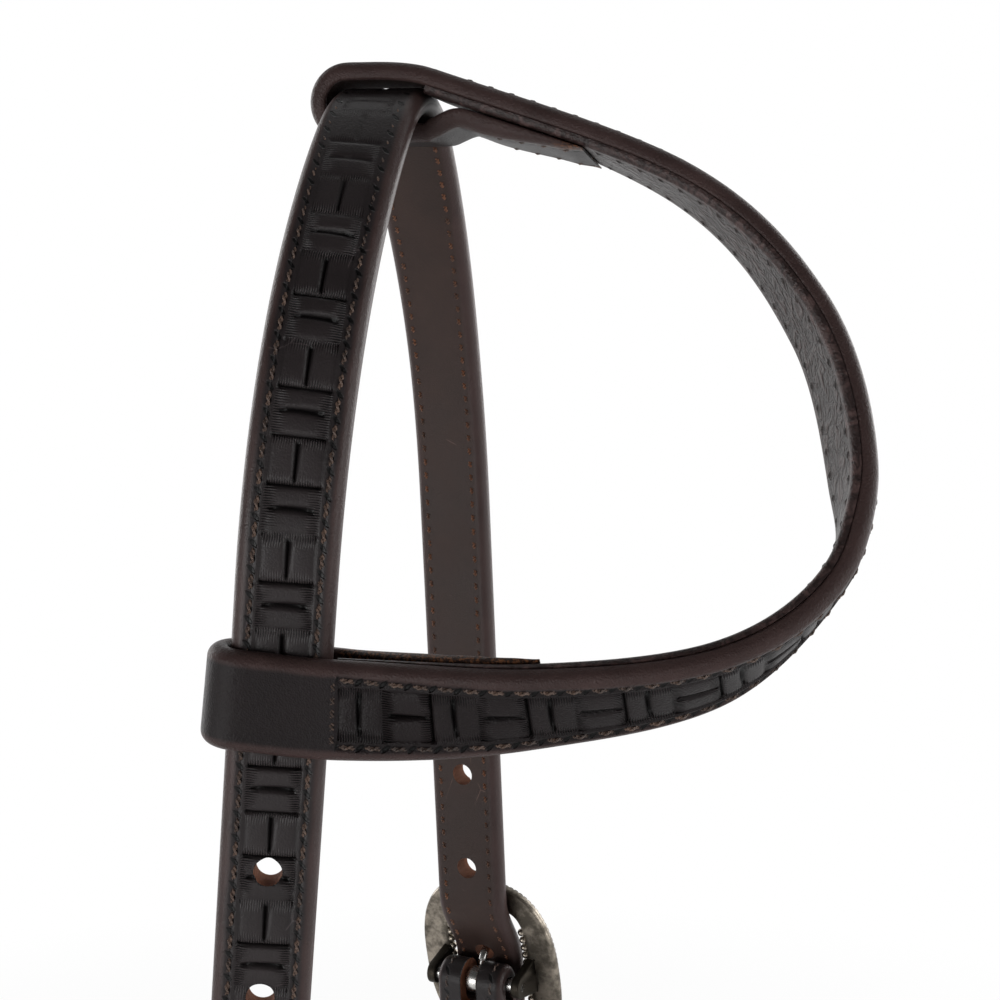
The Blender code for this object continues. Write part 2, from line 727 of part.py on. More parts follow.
def cheek_route():
    """The cheek leather's middle line as (below the bar, outward), from its inner tab over the bar,
    down the outside, round the bit loop and back up the inside."""
    middle = BAR_TO_FOLD + CHEEK_OUTER_PLY / 2
    route = [(below, -middle) for below in spread(BUCKLE_TAB_LENGTH, 0.0, STEP_STRAIGHT)]
    for i in range(9):
        angle = math.radians(180.0 * i / 8)
        route.append((-middle * math.sin(angle), -middle * math.cos(angle)))
    route += [(below, middle) for below in spread(0.0, CHEEK_LENGTH, STEP_STRAIGHT * 2)[1:]]
    route.append((CHEEK_LENGTH, middle))
    loop = BIT_LOOP_RADIUS + CHEEK_OUTER_PLY / 2
    flare = math.asin(loop / math.hypot(BIT_LOOP_DROP, middle)) - math.atan2(middle, BIT_LOOP_DROP)
    centre = CHEEK_LENGTH + BIT_LOOP_DROP
    first = math.radians(90.0) + flare
    for i in range(15):
        angle = first * (1 - 2 * i / 14)
        route.append((centre + loop * math.cos(angle), loop * math.sin(angle)))
    ends = spread(CHEEK_LENGTH, CHEEK_LENGTH - BIT_TAB_LENGTH, STEP_STRAIGHT)
    route += [(below, -middle) for below in ends + [CHEEK_LENGTH - BIT_TAB_LENGTH]]
    return route


def cheek_station(side, route, i):
    below, out = route[i]
    before, after = route[max(i - 1, 0)], route[min(i + 1, len(route) - 1)]
    across, down, outward = side.axes()
    along = Vector((after[0] - before[0], after[1] - before[1])).normalized()
    normal = outward * along[0] - down * along[1]
    half = CHEEK_OUTER_PLY / 2
    skive = (CHEEK_OUTER_PLY - TAB_SKIVE) if i in (0, len(route) - 1) else 0.0
    return side.at_bar(below, out), across, normal, STRAP_WIDTH / 2, -half, half - skive


def screw_places():
    return [CHEEK_LENGTH - SCREW_TO_LOOP - i * SCREW_SPACING for i in range(2)]


def build_cheek(side, grain, flesh):
    route = cheek_route()
    name = side.name + "_cheek_outer"
    stations = [cheek_station(side, route, i) for i in range(len(route))]
    outer = placed(name, swept(name, stations, round_high=True), grain)

    across, down, outward = side.axes()
    name = side.name + "_cheek_lining"
    half = CHEEK_LINING_PLY / 2
    top = BAR_TO_FOLD + CHEEK_OUTER_PLY
    tab_end, bit_tab_end = BUCKLE_TAB_LENGTH + FIT_GAP, CHEEK_LENGTH - BIT_TAB_LENGTH - FIT_GAP
    lining = []
    for below in (top, tab_end, bit_tab_end, CHEEK_LENGTH):
        lining.append((side.at_bar(below, 0.0), across, outward, STRAP_WIDTH / 2, -half, half))
    inner = placed(name, swept(name, lining, round_low=True), flesh)

    slot = bmesh.new()
    deep = 2 * (FOLD_OUTSIDE + OVERRUN)
    tall = FOLD_OUTSIDE + OVERRUN + TONGUE_SLOT_LENGTH
    middle = TONGUE_SLOT_LENGTH - tall / 2
    block(slot, side.matrix(middle, 0.0), (TONGUE_SLOT_WIDTH, tall, deep))
    cut_by([outer], mesh_from(slot, "tongue_slot"), side.name + "_tongue_slot")

    holes = bmesh.new()
    reach = outward * (FOLD_OUTSIDE + OVERRUN)
    for below in screw_places():
        point = side.at_bar(below, 0.0)
        cylinder(holes, point - reach, point + reach, POST_RADIUS + FIT_GAP, HOLE_SIDES)
    cut_by([outer, inner], mesh_from(holes, "screw_holes"), side.name + "_screw_holes")


def turned(name, profile, place):
    """A turned piece: its (radius, height) profile goes round local Z."""
    shape = bmesh.new()
    corners = [shape.verts.new((radius, 0.0, height)) for radius, height in profile]
    for one, other in zip(corners[:-1], corners[1:]):
        shape.edges.new((one, other))
    obj = bpy.data.objects.new(name, mesh_from(shape, name))
    bpy.context.scene.collection.objects.link(obj)
    screw = obj.modifiers.new("turn", "SCREW")
    screw.steps = screw.render_steps = HOLE_SIDES
    screw.use_merge_vertices = True
    screw.merge_threshold = GLUE_GAP / 100
    mesh = baked(obj, name)
    fixed = bmesh.new()
    fixed.from_mesh(mesh)
    bmesh.ops.remove_doubles(fixed, verts=fixed.verts, dist=GLUE_GAP / 100)
    bmesh.ops.recalc_face_normals(fixed, faces=fixed.faces)
    fixed.to_mesh(mesh)
    fixed.free()
    mesh.transform(place)
    return mesh


def build_screws(side, silver):
    """Each post comes in from the outside; its screw goes into it from the inside."""
    face = FOLD_OUTSIDE + FIT_GAP
    end = -face + FIT_GAP
    bore = SCREW_SHANK_RADIUS + BAR_SEAT_GAP
    dome = face + POST_HEAD_HEIGHT
    edge = face + POST_HEAD_EDGE
    shoulder = POST_HEAD_RADIUS * 0.7
    post = [(0.0, dome), (shoulder, dome - POST_HEAD_EDGE / 3), (POST_HEAD_RADIUS, edge)]
    post += [(POST_HEAD_RADIUS, face), (POST_RADIUS, face), (POST_RADIUS, end), (bore, end)]
    post += [(bore, face - FIT_GAP), (0.0, face - FIT_GAP)]
    screw = [(0.0, face - FIT_GAP * 3), (SCREW_SHANK_RADIUS, face - FIT_GAP * 3)]
    screw += [(SCREW_SHANK_RADIUS, -face), (POST_HEAD_RADIUS, -face), (POST_HEAD_RADIUS, -edge)]
    screw += [(shoulder, POST_HEAD_EDGE / 3 - dome), (0.0, -dome)]
    for label, below in zip(("lower", "upper"), screw_places()):
        place = side.matrix(below, 0.0)
        name = side.name + "_" + label + "_post"
        placed(name, turned(name, post, place), silver)
        name = side.name + "_" + label + "_screw"
        head = placed(name, turned(name, screw, place), silver)
        drive = bmesh.new()
        size = (2 * (POST_HEAD_RADIUS + OVERRUN), SCREW_DRIVE_WIDTH, 2 * SCREW_DRIVE_DEPTH)
        block(drive, side.matrix(below, -dome), size)
        cut_by([head], mesh_from(drive, "drive"), name + "_drive")


def rounded_box(low, high, half_width, radius):
    points = []
    corners = ((half_width, high, 0.0), (-half_width, high, 90.0), (-half_width, low, 180.0))
    for across, out, start in corners + ((half_width, low, 270.0),):
        centre_across = across - math.copysign(radius, across)
        centre_out = out - radius if out == high else out + radius
        for i in range(ROUND_STEPS + 1):
            angle = math.radians(start + 90.0 * i / ROUND_STEPS)
            points.append((centre_across + radius * math.cos(angle), centre_out + radius * math.sin(angle)))
    return points


def build_keeper(side, grain):
    """A leather ring that slides over the cheek piece and the crown's tail."""
    low = -CHEEK_LINING_PLY / 2 - FIT_GAP
    high = WEAVE_RISE + CROWN_HALF + FIT_GAP
    half_width = STRAP_WIDTH / 2 + FIT_GAP
    inner = rounded_box(low, high, half_width, FIT_GAP)
    outer = rounded_box(low - KEEPER_PLY, high + KEEPER_PLY, half_width + KEEPER_PLY, KEEPER_CORNER)
    ring = flat_outline("keeper", (outer, inner), KEEPER_WIDTH / 2)
    stand = Matrix(((1, 0, 0, 0), (0, 0, -1, 0), (0, 1, 0, 0), (0, 0, 0, 1)))
    ring.transform(side.matrix(KEEPER_REACH, 0.0) @ stand)
    name = side.name + "_keeper"
    ring.name = name
    placed(name, ring, grain, side.at_bar(KEEPER_REACH, 0.0))


def build():
    emptied_scene()
    grain = material("black_brown_leather", (0.021, 0.017, 0.015), 0.5)
    flesh = material("brown_lining_leather", (0.040, 0.026, 0.021), 0.6)
    silver = material("antiqued_silver", (0.62, 0.60, 0.56), 0.3, 1.0)
    steel = material("bright_steel", (0.66, 0.66, 0.66), 0.25, 1.0)
    build_crown(grain, flesh)
    build_ear_piece(grain, flesh)
    for side in (EAR_SIDE, FAR_SIDE):
        build_buckle(side, silver, steel)
        build_cheek(side, grain, flesh)
        build_keeper(side, grain)
        build_screws(side, silver)


build()
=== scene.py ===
"""The looks of a one-ear western headstall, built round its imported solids. Lengths are in metres.

Every strap is made as a saddler makes it: cut flat, edged, tooled, punched and sewn, and then bent to
the way it hangs. Flat, X runs along a strap, Y across it and Z out of its face.
"""

import math
from math import cos, pi, radians, sin

import bmesh
import bpy
import numpy as np
from mathutils import Matrix, Vector


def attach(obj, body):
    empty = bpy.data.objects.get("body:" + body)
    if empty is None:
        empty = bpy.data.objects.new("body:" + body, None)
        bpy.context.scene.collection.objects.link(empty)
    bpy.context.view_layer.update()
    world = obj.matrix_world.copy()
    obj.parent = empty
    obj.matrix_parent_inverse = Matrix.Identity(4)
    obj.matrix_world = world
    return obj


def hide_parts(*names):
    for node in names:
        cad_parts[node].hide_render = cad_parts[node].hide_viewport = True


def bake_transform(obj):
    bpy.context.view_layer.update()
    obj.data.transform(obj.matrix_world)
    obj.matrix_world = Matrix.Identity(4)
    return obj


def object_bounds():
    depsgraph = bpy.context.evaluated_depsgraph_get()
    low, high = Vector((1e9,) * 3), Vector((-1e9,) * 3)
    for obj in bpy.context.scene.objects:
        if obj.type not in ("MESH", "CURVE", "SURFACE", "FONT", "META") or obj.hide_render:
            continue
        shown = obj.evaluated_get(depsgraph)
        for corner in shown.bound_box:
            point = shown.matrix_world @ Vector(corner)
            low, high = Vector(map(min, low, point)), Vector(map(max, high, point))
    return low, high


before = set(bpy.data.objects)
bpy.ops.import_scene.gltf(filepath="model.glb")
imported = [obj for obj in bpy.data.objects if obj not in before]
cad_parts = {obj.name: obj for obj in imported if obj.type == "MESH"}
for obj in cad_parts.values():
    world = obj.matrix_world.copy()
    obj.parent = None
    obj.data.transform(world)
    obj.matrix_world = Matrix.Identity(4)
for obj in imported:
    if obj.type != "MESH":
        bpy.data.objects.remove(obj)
cad_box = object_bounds()

# Studio
# The headstall hangs over a white floor with nothing behind it, as in a catalogue picture. The camera
# stands level with the ear loop; broad lamps behind both shoulders draw the light along the edges.

CAMERA_PLACE = Vector((0.06548, -0.33579, -0.02756))
CAMERA_AZIMUTH = radians(7.0862)
CAMERA_RISE = radians(8.9977)
CAMERA_ROLL = radians(0.2406)
LENS_MM = 56.98
SENSOR_MM = 36.0
FLOOR_DROP = 0.03
FLOOR_SIZE = 12.0
WHITE = (1.0, 1.0, 1.0)
LAMP_TARGET = (0.02, 0.0, -0.12)
LAMPS = (
    ("front_lamp", (-0.75, -1.25, -0.42), (1.1, 0.9), 19.0),
    ("right_lamp", (1.25, -0.20, -0.10), (0.6, 1.4), 9.0),
    ("left_back_lamp", (-1.15, 0.75, 0.15), (0.6, 1.4), 7.0),
    ("right_back_lamp", (0.95, 1.05, 0.35), (0.9, 1.4), 13.0),
    ("top_lamp", (0.1, 0.65, 1.15), (1.2, 1.0), 3.5),
)
SKY_STRENGTH = 1.25
SKY_DIFFUSE_SHARE = 0.45
# The sky dims from the first place to the second along this axis, down to this share.
SKY_WALLS = (("Y", -0.20, 0.45, 0.38), ("Z", 0.60, 0.15, 0.15))


def placed(name, data):
    """A new object in the scene."""
    obj = bpy.data.objects.new(name, data)
    bpy.context.scene.collection.objects.link(obj)
    return obj


def mesh_of(shape):
    mesh = bpy.data.meshes.new("made")
    shape.to_mesh(mesh)
    shape.free()
    return mesh


class Wire:
    """The output of a shader node. Sums of wires and numbers are Math nodes."""

    def __init__(self, socket):
        self.socket = socket

    def __add__(self, other):
        return sum_of("ADD", self, other)

    def __sub__(self, other):
        return sum_of("SUBTRACT", self, other)

    def __rsub__(self, other):
        return sum_of("SUBTRACT", other, self)

    def __mul__(self, other):
        return sum_of("MULTIPLY", self, other)


def feed(socket, value):
    """Gives a shader input a value or links a wire to it."""
    if isinstance(value, Wire):
        socket.id_data.links.new(value.socket, socket)
    else:
        socket.default_value = (*value, 1.0) if socket.type == "RGBA" else value


def node(tree, kind, inputs=(), **settings):
    """A shader node with its settings and what feeds its inputs."""
    made = tree.nodes.new(kind if kind.startswith("Node") else "ShaderNode" + kind)
    for key, value in settings.items():
        setattr(made, key, value)
    for key, value in dict(inputs).items():
        feed(made.inputs[key], value)
    return made


def wire(tree, kind, inputs=(), output=0, **settings):
    """A shader node's output."""
    return Wire(node(tree, kind, inputs, **settings).outputs[output])


def sum_of(operation, *values):
    """The output of a Math node on these wires and numbers."""
    tree = next(value.socket.id_data for value in values if isinstance(value, Wire))
    return wire(tree, "Math", enumerate(values), operation=operation)


def material(name):
    """A new material, its tree, its shader's inputs and the place on the object."""
    made = bpy.data.materials.new(name)
    made.use_nodes = True
    tree = made.node_tree
    return made, tree, tree.nodes["Principled BSDF"].inputs, wire(tree, "TexCoord", output="Object")


back = Vector((sin(CAMERA_AZIMUTH), -cos(CAMERA_AZIMUTH), 0.0)) * cos(CAMERA_RISE)
back.z = sin(CAMERA_RISE)
level = Vector((0.0, 0.0, 1.0)).cross(back).normalized()
upright = back.cross(level)
camera_side = level * cos(CAMERA_ROLL) + upright * sin(CAMERA_ROLL)
camera_up = upright * cos(CAMERA_ROLL) - level * sin(CAMERA_ROLL)
camera = placed("camera", bpy.data.cameras.new("camera"))
camera.matrix_world = Matrix.Translation(CAMERA_PLACE) @ Matrix(
    (camera_side, camera_up, back)
).transposed().to_4x4()
camera.data.lens = LENS_MM
camera.data.sensor_width = SENSOR_MM
camera.data.clip_start = 0.01
bpy.context.scene.camera = camera
bpy.context.scene.view_settings.view_transform = "Standard"

for name, place, size, power in LAMPS:
    light = bpy.data.lights.new(name, "AREA")
    light.shape = "RECTANGLE"
    light.size, light.size_y = size
    light.energy = power
    obj = placed(name, light)
    obj.location = place
    obj.rotation_euler = (Vector(LAMP_TARGET) - Vector(place)).to_track_quat("-Z", "Y").to_euler()

world = bpy.data.worlds.new("studio")
bpy.context.scene.world = world
world.use_nodes = True
sky = world.node_tree
path = node(sky, "LightPath").outputs
seen = sum_of("MAXIMUM", Wire(path["Is Camera Ray"]), Wire(path["Is Transmission Ray"]))
toward = node(sky, "SeparateXYZ", {0: wire(sky, "TexCoord", output="Generated")}).outputs
sheen = SKY_STRENGTH
for axis, start, end, least in SKY_WALLS:
    span = {"Value": Wire(toward[axis]), "From Min": start, "From Max": end, "To Min": least}
    sheen = wire(sky, "MapRange", span, interpolation_type="SMOOTHSTEP") * sheen
dim = sheen * (Wire(path["Is Glossy Ray"]) * (1.0 - SKY_DIFFUSE_SHARE) + SKY_DIFFUSE_SHARE)
strength = (1.0 - seen) * dim + seen
backdrop = wire(sky, "Background", {"Color": WHITE, "Strength": strength})
feed(sky.nodes["World Output"].inputs["Surface"], backdrop)

paper, tree, shader, spot = material("white_paper")
path = node(tree, "LightPath").outputs
direct = sum_of("MAXIMUM", Wire(path["Is Camera Ray"]), Wire(path["Is Glossy Ray"]))
feed(shader["Base Color"], (0.86, 0.86, 0.86))
feed(shader["Roughness"], 0.9)
away = wire(tree, "VectorMath", {0: spot}, "Value", operation="LENGTH")
fade = wire(tree, "MapRange", {"Value": away, "From Min": 0.45, "From Max": 0.95, "To Min": 0.72})
dull_paper = Wire(tree.nodes["Principled BSDF"].outputs[0])
glow = wire(tree, "Emission", {"Color": WHITE, "Strength": 1.0})
lit = wire(tree, "MixShader", {0: direct * fade, 1: dull_paper, 2: glow})
feed(tree.nodes["Material Output"].inputs["Surface"], lit)
sheet = bmesh.new()
bmesh.ops.create_grid(sheet, x_segments=1, y_segments=1, size=FLOOR_SIZE / 2)
bmesh.ops.translate(sheet, verts=sheet.verts, vec=(0.0, 0.0, cad_box[0][2] - FLOOR_DROP))
floor = placed("floor", mesh_of(sheet))
floor.data.materials.append(paper)

# Crown leather
# Two plies of bridle leather glued and sewn back to back: a black-stained grain face tooled with one
# row of basket blocks, and a plain brown lining. Its edges are rounded together and burnished brown.

STRAP_WIDTH = 0.01905
CROWN_FACE_PLY = 0.00305
CROWN_LINING_PLY = 0.00255
CROWN_HALF = (CROWN_FACE_PLY + CROWN_LINING_PLY) / 2
EDGE_ROUND = 0.0029
PLAIN_CELL = 0.0012
POLL_BEND_RADIUS = 0.0266
POLL_BEND_TURN = radians(42.0)
SHOULDER_BEND_RADIUS = 0.1152
TWIST_RUN = 0.090
POLL_MIX = 0.012
HOLE_SPACING = 0.0254
HOLE_RADIUS = 0.00275
TAIL_TIP = 0.028
TAIL_POINT = 0.012
BAR_BELOW_HOLE = 0.0065
WEAVE_RUN = 0.0200
WEAVE_END = 0.0030
WEAVE_RISE = 0.0082
BLOCK_LENGTH = 0.008853
TOOLING_CELL = BLOCK_LENGTH / 20
BLOCK_HALF_WIDTH = 0.0050
BLOCK_FADE = 0.0004
FIRST_BLOCK = 0.04865
COMB_PITCH = 0.00047
TAB_SKIVE = 0.0012
STITCH_PITCH = 0.0047
STITCH_ROW = 0.0064
SPLIT_DEPTH = 0.00095
BLOCK_SEAM_DEPTH = 0.00075
BLOCK_END_DEPTH = 0.00030
BLOCK_FLOOR_DEPTH = 0.00012
BORDER_DEPTH = 0.00022
STITCH_BED_DEPTH = 0.00040


def smooth(share):
    share = np.clip(share, 0.0, 1.0)
    return share * share * (3.0 - 2.0 * share)


def groove(distance, width):
    """1 in the middle of a cut, falling to nothing past its width."""
    return np.exp(-((distance / width) ** 2))


def reach_along(points):
    """How far along a chain of points each of them lies."""
    steps = np.linalg.norm(np.diff(points, axis=0), axis=1)
    return np.concatenate([[0.0], np.cumsum(steps)])


class Line:
    """The way a strap hangs: its points, the direction across it and the way out of its face."""

    def __init__(self, points, across, outward, start=0.0):
        self.points = np.array(points, float)
        self.across = np.array(across, float)
        self.outward = np.array(outward, float)
        self.reach = start + reach_along(self.points)

    def bend(self, flat):
        """Where flat places (along, across, out) lie once the strap hangs."""

        def along(values):
            return np.stack([np.interp(flat[:, 0], self.reach, values[:, k]) for k in range(3)], axis=1)

        def unit(values):
            return values / np.linalg.norm(values, axis=1, keepdims=True)

        across, outward = unit(along(self.across)), unit(along(self.outward))
        return along(self.points) + across * flat[:, 1:2] + outward * flat[:, 2:3]


def weave(above_bar):
    """How far a crown's tail has climbed over the bar by this distance above it, and its slope there."""
    share = min(max((WEAVE_END + WEAVE_RUN - above_bar) / WEAVE_RUN, 0.0), 1.0)
    return WEAVE_RISE * float(smooth(share)), WEAVE_RISE * 6.0 * share * (1.0 - share) / WEAVE_RUN


class Arm:
    """One arm of the crown: -1 is the ear side, at -Y, and +1 the far side."""

    def __init__(self, sign, lean, twist, hole_reach):
        self.sign, self.lean, self.twist = sign, radians(lean), radians(twist)
        self.hole = hole_reach
        self.bar = hole_reach + BAR_BELOW_HOLE
        self.tip = hole_reach + 2 * HOLE_SPACING + TAIL_TIP

    def arch(self, along):
        """The crown's middle line without its lean: (outward from the poll, height, turn)."""
        first = POLL_BEND_RADIUS * POLL_BEND_TURN
        quarter = radians(90.0)
        if along <= first:
            turn = along / POLL_BEND_RADIUS
            return POLL_BEND_RADIUS * sin(turn), POLL_BEND_RADIUS * (cos(turn) - 1), turn
        turn = min(POLL_BEND_TURN + (along - first) / SHOULDER_BEND_RADIUS, quarter)
        out = POLL_BEND_RADIUS * sin(POLL_BEND_TURN)
        out += SHOULDER_BEND_RADIUS * (sin(turn) - sin(POLL_BEND_TURN))
        height = POLL_BEND_RADIUS * (cos(POLL_BEND_TURN) - 1)
        height -= SHOULDER_BEND_RADIUS * (cos(POLL_BEND_TURN) - cos(turn))
        straight = along - first - SHOULDER_BEND_RADIUS * (quarter - POLL_BEND_TURN)
        return out, height - max(straight, 0.0), turn

    def frame(self, along):
        """(point, down the strap, across it towards the nose, outward) at this reach from the poll."""
        out, height, turn = self.arch(along * cos(self.lean))
        point = Vector((along * sin(self.lean), self.sign * out, height + CROWN_HALF))
        down = Vector((sin(self.lean), 0.0, 0.0))
        down += cos(self.lean) * Vector((0.0, self.sign * cos(turn), -sin(turn)))
        across = (Vector((1.0, 0.0, 0.0)) - down.x * down).normalized()
        outward = self.sign * across.cross(down)
        twist = self.twist * float(smooth(along / TWIST_RUN))
        turned = outward * cos(twist) + across * sin(twist)
        across = across * cos(twist) - outward * sin(twist)
        return point, down, across, turned

    def station(self, along):
        """(point, across, outward), where the strap also climbs over the buckle's bar."""
        point, down, across, outward = self.frame(along)
        rise, slope = weave(self.bar - along)
        return point + outward * rise, across, (outward - down * slope).normalized()

    def at_bar(self, below, out):
        point, down, _, outward = self.frame(self.bar)
        return point + down * below + outward * out


ear_arm = Arm(-1, -4.5, 9.6, 0.2219)
far_arm = Arm(1, 2.6, 19.8, 0.2391)


def crown_station(reach):
    """A place on the whole crown, its reach counted from the poll, less than zero on the ear side."""
    share = float(smooth((reach + POLL_MIX) / (2 * POLL_MIX)))
    if share in (0.0, 1.0):
        return (far_arm if share else ear_arm).station(abs(reach))
    pair = zip(ear_arm.station(-reach), far_arm.station(reach))
    point, across, outward = (one.lerp(other, share) for one, other in pair)
    return point, across.normalized(), outward.normalized()


crown_reaches = np.arange(-ear_arm.tip, far_arm.tip + TOOLING_CELL, TOOLING_CELL)
crown_line = Line(*zip(*(crown_station(float(s)) for s in crown_reaches)), start=-ear_arm.tip)
crown_line.reach = crown_reaches


def girth(half_width, thickness, face_round, back_round, cell):
    """A ply's outline across the strap, from the middle of its back round to there again.

    Each row holds a point's place across and out, its distance round from the middle of the face,
    and 1 where it lies on the flat of the face.
    """

    def corner(side, radius, low, start, steps):
        centre = (half_width - radius, radius if low else thickness - radius)
        turns = [radians(start + 90.0 * i / steps) for i in range(steps + 1)]
        return [(side * (centre[0] + radius * cos(a)), centre[1] + radius * sin(a), 0) for a in turns]

    right = corner(1, back_round, True, -90.0, 6) if back_round else [(half_width, 0.0, 0)]
    right += corner(1, face_round, False, 0.0, 8)
    flat_half = half_width - face_round
    count = max(2, round(2 * flat_half / cell))
    face = [(flat_half - 2 * flat_half * i / count, thickness, 1) for i in range(1, count)]
    left = [(-y, z, on_face) for y, z, on_face in reversed(right)]
    backs = [(half_width * share, 0.0, 0) for share in (0.0, 0.4)]
    rows = np.array(backs + right + face + left + [(-y, z, on) for y, z, on in reversed(backs)])
    around = reach_along(rows[:, :2])
    return np.column_stack([rows[:, :2], around - around[-1] / 2, rows[:, 2]])


def places(mesh):
    flat = np.empty(len(mesh.vertices) * 3, np.float32)
    mesh.vertices.foreach_get("co", flat)
    return flat.reshape(-1, 3).astype(float)


def put(mesh, points):
    mesh.vertices.foreach_set("co", points.astype(np.float32).ravel())
    mesh.update()


def closed(mesh, merge=2e-6):
    """Merges the seams of a rolled sheet, fills its open ends and turns its faces outwards."""
    shape = bmesh.new()
    shape.from_mesh(mesh)
    rims = [vert for vert in shape.verts if vert.is_boundary]
    bmesh.ops.remove_doubles(shape, verts=rims, dist=merge)
    bmesh.ops.holes_fill(shape, edges=[edge for edge in shape.edges if edge.is_boundary])
    bmesh.ops.recalc_face_normals(shape, faces=shape.faces)
    shape.to_mesh(mesh)
    shape.free()


def sheet_grid(columns, rows):
    """A flat sheet of cells, with how far along it each point lies and its row."""
    roll = bmesh.new()
    bmesh.ops.create_grid(roll, x_segments=columns, y_segments=rows, size=0.5)
    mesh = mesh_of(roll)
    grid = places(mesh) + 0.5
    return mesh, grid[:, 0], np.rint(grid[:, 1] * rows).astype(int)


def mark(mesh, marks):
    """Writes three marks of the tool at each point."""
    rows = np.column_stack([marks, np.ones(len(marks))]).astype(np.float32)
    mesh.attributes.new("tooling", "FLOAT_COLOR", "POINT").data.foreach_set("color", rows.ravel())


def cut_ply(start, end, outline, cell, tooling=None, width=None, thin=None, seam=None, through=None):
    """A ply cut flat: a sheet rolled round its outline, with its tooling pressed into the face.

    The second UV map counts stitches along the ply, and is halfway between two where none are sewn.
    One column of the sheet's points lies at through, so that the tooling's cuts fall on columns.
    """
    if through is not None:
        start = through - cell * math.floor((through - start) / cell)
        end = through + cell * math.floor((end - through) / cell)
    mesh, share, row = sheet_grid(max(2, round((end - start) / cell)), len(outline) - 1)
    x = start + share * (end - start)
    across, out, around, on_face = outline[row].T
    if width is not None:
        across = across * width(x)
    if thin is not None:
        out = out * thin(x)
    if tooling is not None:
        depth, marks = tooling(x, across)
        out = out - depth * on_face
        mark(mesh, marks * on_face[:, None])
    put(mesh, np.column_stack([x, across, out]))
    corner = np.empty(len(mesh.loops), np.int32)
    mesh.loops.foreach_get("vertex_index", corner)
    stitch = np.full(len(x), 0.5) if seam is None else seam(x)
    for label, along in (("strap", x), ("seam", stitch)):
        rows = np.column_stack([along[corner], around[corner]]).astype(np.float32)
        mesh.uv_layers.new(name=label).data.foreach_set("uv", rows.ravel())
    closed(mesh)
    return mesh


def hung(flat, line, lift=0.0, facing=1):
    """A flat piece bent to the way its strap hangs, at this height over the strap's middle line."""
    spots = places(flat)
    spots[:, 2] = lift + facing * spots[:, 2]
    put(flat, line.bend(spots))
    closed(flat)
    return flat


def shown(obj_name, mesh, body=None, look=None):
    """A finished piece in the scene, shaded smooth but for its cut corners."""
    mesh.name = obj_name
    if look:
        mesh.materials.append(look)
    mesh.shade_smooth()
    mesh.set_sharp_from_angle(angle=radians(50.0))
    obj = placed(obj_name, mesh)
    if body:
        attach(obj, body)
    return obj


def baked(obj):
    """The mesh that an object's modifiers or its curve make."""
    bpy.context.view_layer.update()
    mesh = bpy.data.meshes.new_from_object(obj.evaluated_get(bpy.context.evaluated_depsgraph_get()))
    bpy.data.objects.remove(obj)
    return mesh


def punched(mesh, cutter_mesh):
    """The mesh with these cutters taken out; the walls of the holes keep the cutters' material slot."""
    work, cutter = placed("work", mesh), placed("cutter", cutter_mesh)
    cut = work.modifiers.new("punch", "BOOLEAN")
    cut.operation, cut.solver, cut.object = "DIFFERENCE", "EXACT", cutter
    result = baked(work)
    bpy.data.objects.remove(cutter)
    return result


def add_box(shape, matrix, size):
    bmesh.ops.create_cube(shape, size=1.0, matrix=matrix @ Matrix.Diagonal((*size, 1.0)))


def add_rod(shape, matrix, radius, length, segments):
    bmesh.ops.create_cone(shape, cap_ends=True, segments=segments, radius1=radius, radius2=radius,
                          depth=length, matrix=matrix)


def hole_punches(reaches, radius, looks):
    shape = bmesh.new()
    for reach in reaches:
        add_rod(shape, Matrix.Translation((reach, 0.0, 0.0)), radius, 0.02, 40)
    for face in shape.faces:
        face.material_index = 1
    mesh = mesh_of(shape)
    for each in looks:
        mesh.materials.append(each)
    return mesh


def drilled(flat, look, reaches, radius):
    """A ply with round holes through it, their walls of raw leather."""
    looks = (look, raw_leather)
    for each in looks:
        flat.materials.append(each)
    return punched(flat, hole_punches(reaches, radius, looks))


def basket_blocks(x, y, first):
    """Tooling depth and marks for one row of basket blocks: a pair of bars across, then a pair along.

    The marks are how much painted shade darkens the cut, and how strongly a bar's end is combed along and
    across.
    """
    place = np.mod(x - first + BLOCK_LENGTH / 2, 2 * BLOCK_LENGTH) - BLOCK_LENGTH / 2
    lying = place < BLOCK_LENGTH / 2
    along = np.where(lying, place, place - BLOCK_LENGTH)
    beside = np.where(lying, along, y)
    length = np.where(lying, y, along)
    half_beside = np.where(lying, BLOCK_LENGTH / 2, BLOCK_HALF_WIDTH)
    half_length = np.where(lying, BLOCK_HALF_WIDTH, BLOCK_LENGTH / 2)
    inside = smooth((BLOCK_HALF_WIDTH + 0.0003 - np.abs(y)) / 0.0005)
    to_end = half_length - np.abs(length)
    taper = 0.00044 * (1.0 + 0.35 * length / half_length)
    bow = np.where(lying, 0.00035 * (1.0 - (length / half_length) ** 2), 0.0)
    split = groove(beside - bow, taper) * smooth((to_end - 0.0004) / 0.0008)
    seam = groove(np.abs(beside) - half_beside, 0.00036)
    seam = seam * np.where(lying, np.where(beside > 0, 1.0, 0.8), 0.25)
    end = smooth(1.0 - to_end / 0.0014)
    swell = 0.00016 * (2.0 * np.abs(beside) / half_beside - 1.0) ** 2
    depth = SPLIT_DEPTH * split + BLOCK_SEAM_DEPTH * seam + BLOCK_END_DEPTH * end + swell + BLOCK_FLOOR_DEPTH
    border = groove(np.abs(y) - BLOCK_HALF_WIDTH - 0.00055, 0.00020)
    bed = groove(np.abs(y) - STITCH_ROW, 0.00055)
    depth = inside * depth + BORDER_DEPTH * border + STITCH_BED_DEPTH * bed
    # Painted shade: the cuts, the border line and the stitch groove are darkened with their depth.
    dark = np.clip(inside * (1.3 * split + 1.1 * seam) + 0.35 * border + 0.25 * bed, 0.0, 1.0)
    comb = inside * smooth(1.0 - to_end / 0.0028) * (1.0 - split) * (1.0 - seam)
    return depth, np.column_stack([dark, comb * ~lying, comb * lying])


